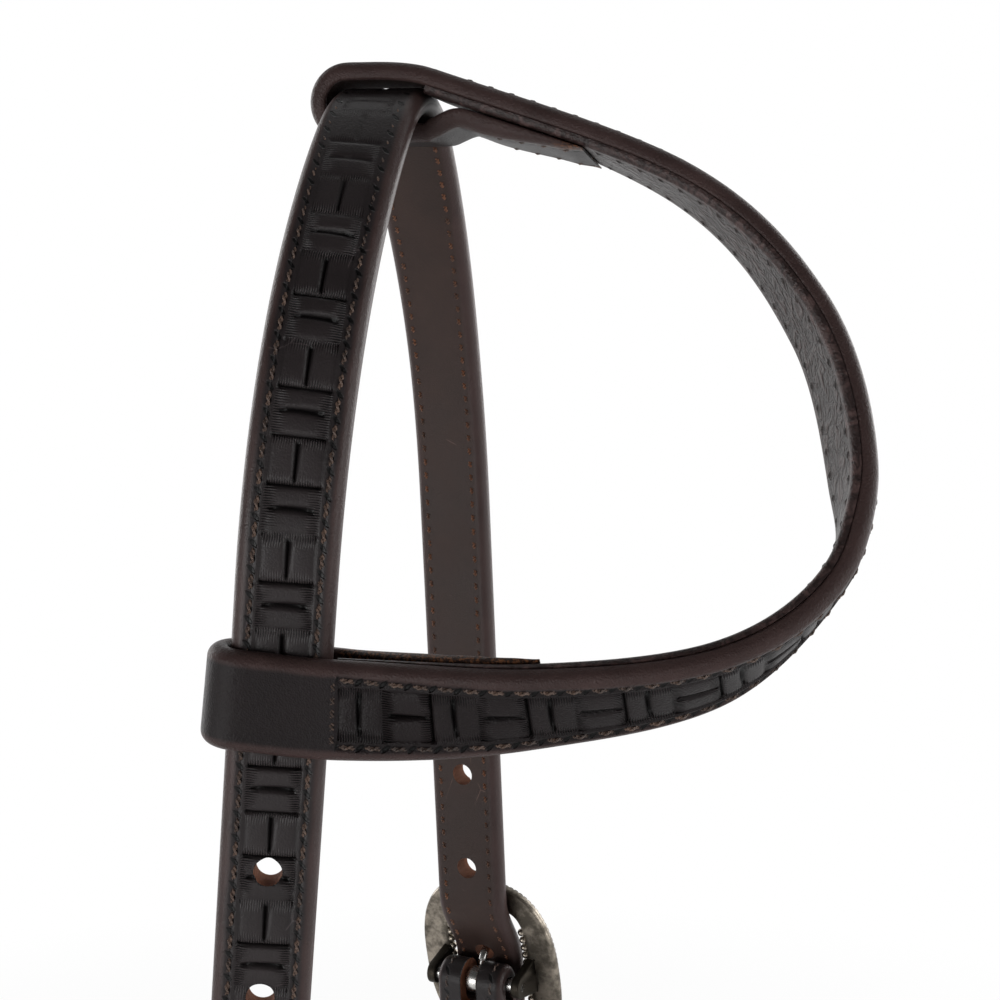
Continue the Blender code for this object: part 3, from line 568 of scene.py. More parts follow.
def block_row(x, y, first, low, high):
    """Basket blocks from low to high along a ply, and no marks past them."""
    depth, marks = basket_blocks(x, y, first)
    inside = smooth((x - low) / BLOCK_FADE) * smooth((high - x) / BLOCK_FADE)
    return depth * inside, marks * inside[:, None]


def pared(from_end, ply, run):
    """How much of a ply's thickness a knife leaves near its end."""
    return 1.0 - (1.0 - TAB_SKIVE / ply) * smooth(1.0 - from_end / run)


def crown_tooling(x, y):
    """The blocks are rubbed faint where the crown lies over the poll."""
    depth, marks = basket_blocks(x, y, -FIRST_BLOCK)
    kept = 0.2 + 0.8 * smooth((np.abs(x) - 0.020) / 0.030)
    return depth * kept, marks * kept[:, None]


def node_group(name, inputs, outputs):
    """An empty shader group, what it is given and the inputs of what it gives back."""
    tree = bpy.data.node_groups.new(name, "ShaderNodeTree")
    for labels, side in ((inputs, "INPUT"), (outputs, "OUTPUT")):
        for label in labels:
            kind = "NodeSocketVector" if label == "Place" else "NodeSocketFloat"
            tree.interface.new_socket(name=label, in_out=side, socket_type=kind)
    given = {socket.name: Wire(socket) for socket in node(tree, "NodeGroupInput").outputs}
    return tree, given, node(tree, "NodeGroupOutput").inputs


def soft_gate(value, start, end):
    """1 below start, 0 past end, smooth between."""
    span = {"Value": value, "From Min": start, "From Max": end, "To Min": 1.0, "To Max": 0.0}
    return wire(value.socket.id_data, "MapRange", span, interpolation_type="SMOOTHSTEP")


def noise(place, scale, detail, roughness=0.5, distortion=0.0):
    settings = {"Scale": scale, "Detail": detail, "Roughness": roughness, "Distortion": distortion}
    return wire(place.socket.id_data, "TexNoise", {"Vector": place, **settings})


def mixed(share, one, other):
    """One colour, turning into the other."""
    return wire(share.socket.id_data, "Mix", {0: share, 6: one, 7: other}, 2, data_type="RGBA")


grain_tree, given, made = node_group("leather_grain", ("Place", "Size"), ("Height", "Mottle", "Scuff"))
place, fineness = given["Place"], sum_of("DIVIDE", 1.0, given["Size"])
pores = wire(grain_tree, "TexVoronoi", {"Vector": place, "Scale": fineness})
feed(made["Height"], pores * 0.6 + noise(place, fineness * 0.45, 4.0, 0.6, 0.6))
feed(made["Mottle"], noise(place, fineness * 0.035, 3.0))
settings = {"Vector": place, "Scale": 80.0}
scratches = wire(grain_tree, "TexVoronoi", settings, "Distance", feature="DISTANCE_TO_EDGE")
rubbed = noise(place, 120.0, 3.0)
feed(made["Scuff"], soft_gate(scratches, 0.004, 0.013) * soft_gate(rubbed, 0.68, 0.61))

# Where the awl slits lie round each stitch; leather() paints them near black, as painted shade in holes the
# mesh does not have.
seam_tree, given, made = node_group("awl_slits", ("Stitch", "Across", "Pitch", "Row"), ("Slit",))
from_hole = (sum_of("FRACT", given["Stitch"] + 0.5) - 0.5) * given["Pitch"]
from_row = given["Across"] - sum_of("SIGN", given["Across"]) * given["Row"]
slit = {"X": (from_hole + from_row) * 0.36, "Y": from_hole - from_row}
offset = wire(seam_tree, "CombineXYZ", slit)
distance = wire(seam_tree, "VectorMath", {0: offset}, "Value", operation="LENGTH")
feed(made["Slit"], soft_gate(distance, 0.00040, 0.00064))

# The combed ticks at the bars' ends: one wave for the bump, which leather() also adds to the colour as
# painted highlights on its ridges and painted shade in its troughs.
masks = ("Along Mask", "Across Mask")
comb_tree, given, made = node_group("bar_combing", ("Along", "Across") + masks, ("Height",))
where = wire(comb_tree, "CombineXYZ", {"X": given["Along"], "Y": given["Across"]})
wobble = noise(where, 700.0, 2.0)
strength = noise(where, 330.0, 2.0) * 3.2 - 0.8
total = 0.0
for line_place, mask in zip(("Across", "Along"), masks):
    turn = given[line_place] * (2 * pi / COMB_PITCH) + wobble * 3.0
    total = sum_of("SINE", turn) * given[mask] * strength + total
feed(made["Height"], total)


def flat_place(tree, label):
    """How far along and across the flat ply a point lies."""
    uv = wire(tree, "UVMap", uv_map=label)
    return [Wire(socket) for socket in node(tree, "SeparateXYZ", {0: uv}).outputs][:2]


def leather(name, face, edge, face_half=0.0072, tooled=True, gloss=0.42, pore=0.00042, depth=0.00006,
            specular=0.22, raw=False, creased=0.0):
    """Stained strap leather: its face colour, burnished edges, grain, tooling and awl slits. The cuts, slits
    and crease valleys are painted shade; the combed ticks and crease ridges carry painted highlights.
    """
    made, tree, shader, place = material(name)
    along, across = flat_place(tree, "strap")
    grain = node(tree, "Group", {"Place": place, "Size": pore}, node_tree=grain_tree).outputs
    mottle = Wire(grain["Mottle"])
    from_middle = sum_of("ABSOLUTE", across) + (mottle * 0.0008 - 0.0004)
    edge_mask = soft_gate(from_middle, face_half + 0.0009, face_half - 0.0003)
    on_face = 1.0 - edge_mask
    stain = mixed(edge_mask, face, edge)
    dull = soft_gate(from_middle, 0.0130, 0.0124)
    shade = (Wire(grain["Scuff"]) * on_face * 1.8 + (mottle * 0.9 + 0.55)) * (dull * -0.4 + 1.0)
    height = Wire(grain["Height"]) * (dull * -0.7 + 1.0)
    height = noise(place, 2300.0, 3.0) * edge_mask * 1.5 + height
    if creased:
        fold = sum_of("ABSOLUTE", noise(place, 330.0, 2.5, 0.5, 0.9) - 0.5)
        height = fold * on_face * creased + height
        # Painted shade in the crease valleys and painted highlights on the ridges between them, besides the
        # bump.
        shade = shade * (fold * 6.0 + 0.35)
    if tooled:
        seam = {"Stitch": flat_place(tree, "seam")[0], "Pitch": STITCH_PITCH, "Row": STITCH_ROW}
        slit = wire(tree, "Group", {"Across": across, **seam}, node_tree=seam_tree)
        # Painted shade: the awl slits are darkened almost to black.
        shade = shade * (slit * -0.95 + 1.0)
        height = slit * -3.0 + height
        # The first tooling mark, split below, darkens the cuts: painted shade.
        marks = wire(tree, "Attribute", attribute_name="tooling")
        split, *combed = (Wire(socket) for socket in node(tree, "SeparateColor", {0: marks}).outputs)
        comb = wire(tree, "Group", {"Along": along, "Across": across, **dict(zip(masks, combed))},
                    node_tree=comb_tree)
        # The comb's ridges add painted highlights to the colour and its troughs painted shade.
        shade = sum_of("MAXIMUM", comb * 1.4 + shade * (split * -0.9 + 1.0), 0.05)
        height = comb * 2.2 + height
    if raw:
        cut = wire(tree, "Attribute", output="Fac", attribute_name="raw") * edge_mask
        fibres = noise(place, 1500.0, 4.0, 0.7)
        spread = mixed(soft_gate(fibres, 0.61, 0.45), (0.022, 0.0105, 0.0075), (0.17, 0.070, 0.030))
        stain = mixed(cut, stain, spread)
        height = fibres * cut * 5.0 + height
    feed(shader["Base Color"], wire(tree, "VectorMath", {0: stain, "Scale": shade}, operation="SCALE"))
    rough = edge_mask * -0.05 + (mottle * 0.22 + (gloss - 0.11))
    feed(shader["Roughness"], dull * 0.5 + rough)
    bump = {"Height": height, "Strength": 0.9, "Distance": depth}
    feed(shader["Normal"], wire(tree, "Bump", bump))
    feed(shader["Specular IOR Level"], dull * (-0.8 * specular) + specular)
    return made


FACE_BLACK = (0.0215, 0.0170, 0.0175)
EAR_BLACK = (0.0108, 0.0076, 0.0080)
EDGE_BROWN = (0.049, 0.0300, 0.0280)
LINING_BROWN = (0.036, 0.0215, 0.0180)
RAW_TAN = (0.16, 0.062, 0.032)
FAR_PITCH = 0.0035

crown_leather = leather("tooled_crown_leather", FACE_BLACK, EDGE_BROWN)
lining_leather = leather("crown_lining_leather", LINING_BROWN, EDGE_BROWN, tooled=False, gloss=0.55)
raw_leather = leather(
    "raw_cut_leather", RAW_TAN, RAW_TAN, tooled=False, gloss=0.85, pore=0.0003, depth=0.00012
)


def pointed_ends(x):
    """The crown's tails run to a blunt round point."""
    share = np.maximum((np.abs(x) - np.where(x < 0, ear_arm.tip, far_arm.tip)) / TAIL_POINT + 1.0, 0.0)
    return np.sqrt(1.0 - 0.97 * np.minimum(share, 1.0) ** 2)


def crown_seam(x):
    """How many stitches lie between the poll and each place; the far arm's are shorter."""
    count = x / np.where(x < 0, STITCH_PITCH, FAR_PITCH)
    sewn_part = (x > TAIL_POINT - ear_arm.tip) & (x < far_arm.tip - TAIL_POINT)
    return np.where(sewn_part, count, 0.5)


punch_reaches = [-(ear_arm.hole + i * HOLE_SPACING) for i in range(-2, 3)]
punch_reaches += [far_arm.hole + i * HOLE_SPACING for i in range(-2, 3)]
crown_plies = (
    ("crown_grain_ply", "crown_outer", CROWN_FACE_PLY, 1, crown_tooling, TOOLING_CELL, crown_leather),
    ("crown_lining_ply", "crown_lining", CROWN_LINING_PLY, -1, None, PLAIN_CELL, lining_leather),
)
SEAM_HEIGHT = CROWN_LINING_PLY - CROWN_HALF
for name, replaced, thick, facing, tooling, cell, look in crown_plies:
    outline = girth(STRAP_WIDTH / 2, thick, min(EDGE_ROUND, thick * 0.92), 0.0, cell)
    flat = cut_ply(-ear_arm.tip, far_arm.tip, outline, cell, tooling, pointed_ends, seam=crown_seam,
                   through=-FIRST_BLOCK)
    flat = drilled(flat, look, punch_reaches, HOLE_RADIUS)
    crown_ply = shown(name, hung(flat, crown_line, SEAM_HEIGHT, facing), "crown")
    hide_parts(replaced)
    "stamped_leather" if facing == 1 else "lining_leather"

# Crown stitching
# Two rows of waxed two-ply thread, sewn through both plies with a slanting awl: long twisted stitches
# on the face, and short ones pulled deep into the lining.

THREAD_RADIUS = 0.00028
THREAD_SINK = 0.00012
THREAD_TWIST = radians(400.0)
# The length of a stitch on a tooled face and how deep its ends sink.
FACE_STITCH = (0.0034, 0.0007)


def one_stitch(length, sink):
    """Two strands laid round each other, their ends drawn down into the awl holes."""
    shape = bmesh.new()
    steps = 6
    twist = Matrix.Rotation(THREAD_TWIST / steps, 3, "X")
    for turn in (0.0, pi):
        place = Matrix.Rotation(radians(90.0), 4, "Y") @ Matrix.Translation(
            (THREAD_RADIUS * cos(turn), THREAD_RADIUS * sin(turn), -length / 2)
        )
        ring = bmesh.ops.create_circle(shape, cap_ends=True, segments=4, radius=THREAD_RADIUS, matrix=place)
        face = ring["verts"][0].link_faces[0]
        for _ in range(steps):
            face = bmesh.ops.extrude_discrete_faces(shape, faces=[face])["faces"][0]
            bmesh.ops.rotate(shape, verts=face.verts, matrix=twist)
            bmesh.ops.translate(shape, verts=face.verts, vec=(length / steps, 0.0, 0.0))
    for vert in shape.verts:
        share = abs(2 * vert.co.x / length)
        narrow = 1.0 - 0.45 * share**4
        vert.co.y *= narrow
        vert.co.z = vert.co.z * narrow - sink * share**4
    return mesh_of(shape)


def sewn(line, start, count, height, length, sink, facing, look, pitch=STITCH_PITCH):
    """Two rows of stitches made flat, one pitch apart, and bent to their strap."""
    obj = placed("stitches", one_stitch(length, sink))
    for copies, offset in ((count, (pitch, 0.0, 0.0)), (2, (0.0, 2 * STITCH_ROW, 0.0))):
        row = obj.modifiers.new("row", "ARRAY")
        row.count = copies
        row.use_relative_offset = False
        row.use_constant_offset = True
        row.constant_offset_displace = offset
    mesh = baked(obj)
    spots = places(mesh)
    spots[:, 0] += start + pitch / 2
    spots[:, 1] -= STITCH_ROW
    spots[:, 2] = height(spots[:, 0]) + facing * spots[:, 2]
    put(mesh, line.bend(spots))
    closed(mesh)
    mesh.materials.append(look)
    return mesh


def laid_stitch(line, length, sink, height, turned):
    """A single stitch on a strap, its flat (along, across) places turned as they should lie."""
    stitch = one_stitch(length, sink)
    spots = places(stitch)
    along, across = turned(spots[:, 0], spots[:, 1])
    put(stitch, line.bend(np.column_stack([along, across, spots[:, 2] + height])))
    stitch.materials.append(khaki_thread)
    return stitch


def level_at(height):
    """The same height all along a strap."""
    return lambda x: np.full(len(x), height)


def together(meshes):
    """One mesh of these, with the first one's material."""
    shape = bmesh.new()
    for each in meshes:
        shape.from_mesh(each)
    joined = mesh_of(shape)
    joined.materials.append(meshes[0].materials[0])
    return joined


def thread_material(name, light, dark):
    made, tree, shader, place = material(name)
    fibre = noise(place, 2600.0, 3.0)
    dirt = noise(place, 90.0, 2.0)
    feed(shader["Base Color"], mixed(soft_gate(fibre * dirt, 0.38, 0.14), light, dark))
    feed(shader["Normal"], wire(tree, "Bump", {"Height": fibre, "Distance": 0.0001, "Strength": 0.6}))
    feed(shader["Roughness"], 0.6)
    return made


khaki_thread = thread_material("khaki_waxed_thread", (0.120, 0.074, 0.054), (0.028, 0.018, 0.0145))
russet_thread = thread_material("russet_waxed_thread", (0.17, 0.066, 0.030), (0.055, 0.028, 0.018))
dark_thread = thread_material("dark_waxed_thread", (0.030, 0.022, 0.019), (0.010, 0.008, 0.008))


def sunk_at_poll(x):
    """The face stitches lie deeper where the crown has been bent over the poll for years."""
    return CROWN_HALF - THREAD_SINK - 0.00030 * smooth(1.6 - np.abs(x) / 0.050)


seam_runs = (
    (-ear_arm.tip, -TAIL_POINT, STITCH_PITCH, 1.0),
    (0.0, far_arm.tip, FAR_PITCH, 0.78),
)
crown_seams = (
    ("crown_face_stitches", sunk_at_poll, *FACE_STITCH, 1, khaki_thread, "stamped_leather"),
    ("crown_lining_stitches", level_at(-CROWN_HALF), 0.0024, 0.00035, -1, russet_thread, "lining_leather"),
)
for name, height, length, sink, facing, look, slot in crown_seams:
    runs = []
    for low, high, pitch, size in seam_runs:
        first = pitch * math.ceil((low + TAIL_POINT) / pitch)
        count = int((high - first - (TAIL_POINT if high > 0 else 0.0)) / pitch)
        runs.append(sewn(crown_line, first, count, height, length * size, sink, facing, look, pitch))
    rows = shown(name, together(runs), "crown")

# Ear piece
# One strap of thick leather leaves the crown at the poll, swings forward round the ear and comes back
# to the arm. A thinner lining is sewn inside it, and both ends wrap the crown and return underneath.

EAR_FACE_PLY = 0.00375
EAR_LINING_PLY = 0.00165
EAR_LOOP_PLY = 0.0036
EAR_REACH = 0.0945
EAR_LOOP_REACH = 0.1375
POLL_LOOP_SLACK = 0.0010
POLL_LOOP_HOLLOW = 0.0019
CHEEK_LOOP_SLACK = 0.00035
POLL_EDGE_GAP = 0.0017
CHEEK_EDGE_GAP = 0.0008
CHEEK_FRONT_GAP = 0.0006
EAR_LOOP_TILT = radians(2.0)
SEAT_GAP = 0.0003
POLL_TAB_LENGTH = 0.0365
CHEEK_TAB_LENGTH = 0.0395
TAB_JOIN_SHARES = (0.27, 0.5)
TAB_PARED_RUN = 0.024
TAB_TIP_RUN = 0.005
TAB_TIP_SHARE = 0.3
POLL_END_SLOPE_SHARE = 0.305
POLL_END_FALL_SHARE = 0.45
# Shares of the reach forward, of the gap from the poll to the arm and of the drop to the lower loop,
# and how far the strap is turned from lying over the poll to standing along the arm.
EAR_ROUTE_SHARES = (
    (0.650, 0.188, 0.162, 0.140),
    (0.910, 0.367, 0.386, 0.388),
    (0.997, 0.584, 0.634, 0.679),
    (0.9625, 0.743, 0.791, 0.253),
    (0.751, 0.904, 0.936, 0.472),
    (0.391, 0.981, 0.997, 0.679),
)


def blended(knots, t):
    """A point of the smooth curve through the middle two of four knots."""
    a, b, c, d = knots
    cubic = (3 * (b - c) + d - a) * t**3 + (2 * a - 5 * b + 4 * c - d) * t**2
    return (cubic + (c - a) * t + 2 * b) / 2


def smoothed(knots, fine):
    """Points along the smooth curve through all but the first and last of these knots."""
    points = []
    for k in range(1, len(knots) - 2):
        points += [blended(knots[k - 1 : k + 3], i / fine) for i in range(fine)]
    return points + [knots[-2]]


def turned_line(points, widths, sign):
    """A Line whose strap lies along these widths, square to its run."""
    frames = []
    last = len(points) - 1
    for i, point in enumerate(points):
        tangent = (points[min(i + 1, last)] - points[max(i - 1, 0)]).normalized()
        across = (widths[i] - widths[i].dot(tangent) * tangent).normalized()
        frames.append((point, across, sign * across.cross(tangent)))
    return Line(*zip(*frames))


arm_point, level_down, level_across, arm_out = ear_arm.frame(EAR_LOOP_REACH)
arm_down = level_down * cos(EAR_LOOP_TILT) - level_across * sin(EAR_LOOP_TILT)
arm_across = level_across * cos(EAR_LOOP_TILT) + level_down * sin(EAR_LOOP_TILT)
crest, crest_over, crest_forward, crest_up = far_arm.frame(0.0)
band_clear = STRAP_WIDTH / 2 + SEAT_GAP + EAR_LINING_PLY / 2 - SEAT_GAP / 4
seam_top = CROWN_HALF + POLL_LOOP_SLACK - SEAT_GAP / 2
poll_slope = crest_forward - crest_up * POLL_END_SLOPE_SHARE
band_start = crest + crest_forward * band_clear
band_start += crest_up * (seam_top - POLL_END_SLOPE_SHARE * band_clear * POLL_END_FALL_SHARE)
band_end = arm_point + arm_across * (band_clear + CHEEK_FRONT_GAP - SEAT_GAP)
band_end += arm_out * (CROWN_HALF + CHEEK_LOOP_SLACK - SEAT_GAP / 2)
knots = [band_start - poll_slope * EAR_REACH / 3, band_start]
turns = [0.0, 0.0]
for forward, aside, fall, turn in EAR_ROUTE_SHARES:
    height = crest.z + fall * (arm_point.z - crest.z)
    knots.append(Vector((forward * EAR_REACH, aside * arm_point.y, height)))
    turns.append(turn)
knots += [band_end, band_end - arm_across * EAR_REACH / 3]
turns += [1.0, 1.0]
band_points = smoothed(knots, 60)
band_widths = []
for turn in smoothed(turns, 60):
    angle = radians(90.0) * turn
    band_widths.append(-cos(angle) * crest_over - sin(angle) * arm_down)
band_line = turned_line(band_points, band_widths, 1)
band_length = float(band_line.reach[-1])
half_ply = EAR_FACE_PLY / 2


def bezier_point(start, start_pull, end, end_pull, t):
    one, two = start + start_pull, end - end_pull
    return (1 - t) ** 3 * start + 3 * (1 - t) ** 2 * t * one + 3 * (1 - t) * t**2 * two + t**3 * end


def loop_line(from_poll, centre, forward, outward, across, top, bottom):
    """The middle line of an end of the strap: off the band, round the crown, and back under the band."""

    def seam(along):
        at = np.array([[along if from_poll else band_length - along, 0.0, 0.0]])
        point = Vector(band_line.bend(at)[0])
        width = Vector(band_line.bend(at + [[0.0, 0.001, 0.0]])[0]) - point
        out = Vector(band_line.bend(at + [[0.0, 0.0, 0.001]])[0]) - point
        width, out = width.normalized(), out.normalized()
        away = out.cross(width) if from_poll else width.cross(out)
        return point, away.normalized(), width, out

    point, away, width, out = seam(0.0)
    start = point + out * half_ply
    turn_radius = (top - bottom) / 2
    edge_gap = POLL_EDGE_GAP if from_poll else CHEEK_EDGE_GAP
    back_of_strap = STRAP_WIDTH / 2 + edge_gap + half_ply - turn_radius
    upper = centre - forward * back_of_strap + outward * top
    pull = (upper - start).length / 3
    points = [bezier_point(start, -away * pull, upper, -forward * pull, i / 6) for i in range(7)]
    hub = centre - forward * back_of_strap + outward * (top + bottom) / 2
    for i in range(1, 11):
        angle = radians(180.0 * i / 10)
        points.append(hub + turn_radius * (outward * cos(angle) - forward * sin(angle)))
    under = centre + forward * (STRAP_WIDTH / 2) + outward * bottom
    points += [points[-1].lerp(under, share) for share in (0.35, 0.7, 1.0)]
    below = EAR_LINING_PLY + SEAT_GAP + half_ply
    finish = POLL_TAB_LENGTH if from_poll else CHEEK_TAB_LENGTH
    join = finish * TAB_JOIN_SHARES[0 if from_poll else 1]
    point, away, width, out = seam(join)
    landing = point - out * below
    pull = (landing - under).length / 3
    widths = [across] * len(points)
    for i in range(1, 6):
        points.append(bezier_point(under, forward * pull, landing, away * pull, i / 5))
        widths.append(seam(join * i / 5)[2])
    for share in (0.2, 0.4, 0.6, 0.8, 1.0):
        point, away, width, out = seam(join + (finish - join) * share)
        points.append(point - out * below)
        widths.append(width)
    ends = [2 * points[0] - points[1]], [2 * points[-1] - points[-2]]
    fine = smoothed(ends[0] + points + ends[1], 10)
    fine_widths = smoothed([widths[0]] + widths + [widths[-1]], 10)
    return turned_line(fine, fine_widths, -1 if from_poll else 1)


loop_middle = EAR_LOOP_PLY / 2
poll_end = loop_line(
    True, crest, crest_forward, crest_up, -crest_over, CROWN_HALF + POLL_LOOP_SLACK + loop_middle,
    -(CROWN_HALF + POLL_LOOP_HOLLOW + SEAT_GAP + loop_middle),
)
cheek_seat = CROWN_HALF + CHEEK_LOOP_SLACK + loop_middle
cheek_end = loop_line(False, arm_point, arm_across, arm_out, -arm_down, cheek_seat, -cheek_seat)
over_band = band_line.points + band_line.outward * half_ply
strap_line = Line(
    np.concatenate([poll_end.points[:0:-1], over_band, cheek_end.points[1:]]),
    np.concatenate([poll_end.across[:0:-1], band_line.across, cheek_end.across[1:]]),
    np.concatenate([poll_end.outward[:0:-1], band_line.outward, cheek_end.outward[1:]]),
    start=-float(poll_end.reach[-1]),
)
strap_start, strap_end = float(strap_line.reach[0]), float(strap_line.reach[-1])
band_run = float(strap_line.reach[len(poll_end.points) + len(band_line.points) - 2])
poll_tab = strap_start + POLL_TAB_LENGTH
cheek_tab = strap_end - CHEEK_TAB_LENGTH
last_block = band_run - BLOCK_LENGTH * 0.54


def strap_tooling(x, y):
    low = last_block - BLOCK_LENGTH * (math.floor(last_block / BLOCK_LENGTH) - 0.5)
    return block_row(x, y, last_block, low, last_block + BLOCK_LENGTH / 2)


def strap_seam(x):
    """The band is sewn from end to end, and each tab through the band above it."""
    tabs = (x < poll_tab - POLL_TAB_LENGTH * TAB_JOIN_SHARES[0]) | (x > cheek_tab + CHEEK_TAB_LENGTH / 2)
    return np.where(tabs | ((x > 0.002) & (x < band_run)), (x - band_run) / STITCH_PITCH, 0.5)


def skived(x):
    """The tabs are pared down to nothing under the band."""
    from_end = np.minimum(x - strap_start, strap_end - x)
    tip = TAB_TIP_SHARE + (1.0 - TAB_TIP_SHARE) * smooth(from_end / TAB_TIP_RUN)
    return pared(from_end, EAR_FACE_PLY, TAB_PARED_RUN) * tip


ear_leather = leather(
    "tooled_ear_leather", EAR_BLACK, EDGE_BROWN, face_half=0.0069, pore=0.00036, depth=0.00012,
    specular=0.14, raw=True,
)
# Its creases are darkened in the valleys and lightened on the ridges: painted shade and painted highlights.
ear_lining_leather = leather(
    "ear_lining_leather", (0.0290, 0.0195, 0.0182), EDGE_BROWN, tooled=False, gloss=0.42, pore=0.00050,
    depth=0.00012, specular=0.24, creased=18.0,
)


def follow_loop(piece):
    """Bakes the piece's placement into its mesh."""
    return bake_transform(piece)


outline = girth(STRAP_WIDTH / 2, EAR_FACE_PLY, 0.0024, 0.0008, TOOLING_CELL)
flat = cut_ply(strap_start, strap_end, outline, TOOLING_CELL, strap_tooling, thin=skived, seam=strap_seam,
               through=last_block)
x = places(flat)[:, 0]
torn_tip = 1.0 - smooth((x - strap_start) / 0.009)
bare = np.maximum(torn_tip, smooth((x - cheek_tab + 0.003) / 0.004))
flat.attributes.new("raw", "FLOAT", "POINT").data.foreach_set("value", bare.astype(np.float32))
ear_strap = shown("ear_strap", hung(flat, strap_line, -half_ply), look=ear_leather)
follow_loop(ear_strap)
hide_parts("ear_band_outer", "ear_poll_loop", "ear_cheek_loop")

outline = girth(STRAP_WIDTH / 2, EAR_LINING_PLY, 0.0013, 0.0, 0.0007)
flat = cut_ply(0.0, band_length, outline, 0.0009)
ear_lining = shown("ear_lining_ply", hung(flat, band_line, facing=-1), look=ear_lining_leather)
follow_loop(ear_lining)
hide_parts("ear_band_lining")


def on_strap(x):
    return skived(x) * EAR_FACE_PLY - half_ply - 0.00022


runs = []
poll_tab_row = (strap_start + 0.0015, poll_tab - 0.012)
cheek_tab_row = (cheek_tab + 0.02, strap_end - 0.0015)
for low, high in (poll_tab_row, (0.002, band_run), cheek_tab_row):
    first = band_run + STITCH_PITCH * math.ceil((low - band_run) / STITCH_PITCH)
    count = int((high - first + 1e-6) / STITCH_PITCH)
    runs.append(sewn(strap_line, first, count, on_strap, *FACE_STITCH, 1, khaki_thread))
for k in range(-2, 3):
    runs.append(laid_stitch(strap_line, 0.0021, 0.0005, half_ply - THREAD_SINK,
                            lambda x, y: (band_run + 0.0004 - y, x + k * 0.0025)))
rows = shown("ear_strap_stitches", together(runs))
follow_loop(rows)
start = POLL_TAB_LENGTH
count = int((band_length - CHEEK_TAB_LENGTH - start) / STITCH_PITCH)
flat = sewn(band_line, start, count, level_at(0.00024 - EAR_LINING_PLY), 0.0032, 0.0007, -1, dark_thread)
rows = shown("ear_lining_stitches", flat)
follow_loop(rows)

# Cheek pieces
# Each is one strap folded over the buckle's bar, run down the cheek, turned round the bit and brought
# back up inside. A filler ply lies between its two tabs, and both edges are sewn through.

CHEEK_PLY = 0.0030
CHEEK_LINING_PLY = 0.0036
CHEEK_LENGTH = 0.2350
BUCKLE_TAB_LENGTH = 0.0340
BAR_RADIUS = 0.0018
BAR_TO_FOLD = BAR_RADIUS + SEAT_GAP
FOLD_OUTSIDE = BAR_TO_FOLD + CHEEK_PLY
TONGUE_SLOT_WIDTH = 0.0046
TONGUE_SLOT_LENGTH = 0.0055
BIT_LOOP_RADIUS = 0.0080
BIT_LOOP_DROP = 0.0200
BIT_TAB_LENGTH = 0.0580
SCREW_SPACING = 0.0240
SCREW_TO_LOOP = 0.0130
POST_RADIUS = 0.0023
CHEEK_BLOCKS = 17
FOLD_TO_FIRST_BLOCK = 0.0170
CHEEK_FIRST_STITCH = 0.0035
CHEEK_PARED_RUN = 0.010
BEND_EASE = 0.004

screw_places = [CHEEK_LENGTH - SCREW_TO_LOOP - i * SCREW_SPACING for i in range(2)]
fold_middle = BAR_TO_FOLD + CHEEK_PLY / 2
fold_turn = pi * fold_middle
front_start = BUCKLE_TAB_LENGTH + fold_turn
cheek_first_block = front_start + FOLD_TO_FIRST_BLOCK


def cheek_line(arm):
    """The cheek strap's middle line, from its inner tab over the bar and round the bit to its other tab."""
    route = [(BUCKLE_TAB_LENGTH, -fold_middle)]
    for turn in range(0, 181, 6):
        angle = radians(turn)
        route.append((-fold_middle * sin(angle), -fold_middle * cos(angle)))
    loop = BIT_LOOP_RADIUS + CHEEK_PLY / 2
    flare = math.asin(loop / math.hypot(BIT_LOOP_DROP, fold_middle))
    first = radians(90.0) + flare - math.atan2(fold_middle, BIT_LOOP_DROP)
    centre = CHEEK_LENGTH + BIT_LOOP_DROP
    bottom = [(CHEEK_LENGTH - BEND_EASE, fold_middle), (CHEEK_LENGTH, fold_middle)]
    for i in range(31):
        angle = first * (1 - 2 * i / 30)
        bottom.append((centre + loop * cos(angle), loop * sin(angle)))
    bottom += [(CHEEK_LENGTH, -fold_middle), (CHEEK_LENGTH - BEND_EASE, -fold_middle)]
    for _ in range(2):
        rounded = [bottom[0]]
        for one, other in zip(bottom, bottom[1:]):
            for share in (0.25, 0.75):
                rounded.append(tuple(a + (b - a) * share for a, b in zip(one, other)))
        bottom = rounded + [bottom[-1]]
    route += bottom + [(CHEEK_LENGTH - BIT_TAB_LENGTH, -fold_middle)]
    _, down, across, outward = arm.frame(arm.bar)
    frames = []
    for i, (below, out) in enumerate(route):
        before, after = route[max(i - 1, 0)], route[min(i + 1, len(route) - 1)]
        run = Vector((after[0] - before[0], after[1] - before[1])).normalized()
        frames.append((arm.at_bar(below, out), across, outward * run[0] - down * run[1]))
    return Line(*zip(*frames))


def cheek_tooling(x, y):
    low = cheek_first_block - BLOCK_LENGTH / 2
    return block_row(x, y, cheek_first_block, low, low + CHEEK_BLOCKS * BLOCK_LENGTH)


def oblong_punch(reach, half_length, radius, looks):
    """A round-ended slot along the strap."""
    mesh = hole_punches([0.0], radius, looks)
    spots = places(mesh)
    spots[:, 0] += reach + np.sign(spots[:, 0]) * (half_length - radius)
    put(mesh, spots)
    return mesh


def straight_line(arm, start, end):
    """A Line straight down from the bar's middle, facing outward."""
    across, outward = arm.frame(arm.bar)[2:]
    ends = [arm.at_bar(below, 0.0) for below in (start, end)]
    return Line(ends, [across, across], [outward, outward], start)


cheek_leather = leather("tooled_cheek_leather", FACE_BLACK, EDGE_BROWN, face_half=0.0079)
cheek_filler_leather = leather("cheek_lining_leather", LINING_BROWN, EDGE_BROWN, tooled=False, gloss=0.55)


def cheek_seam(x):
    return (x - CHEEK_FIRST_STITCH) / STITCH_PITCH


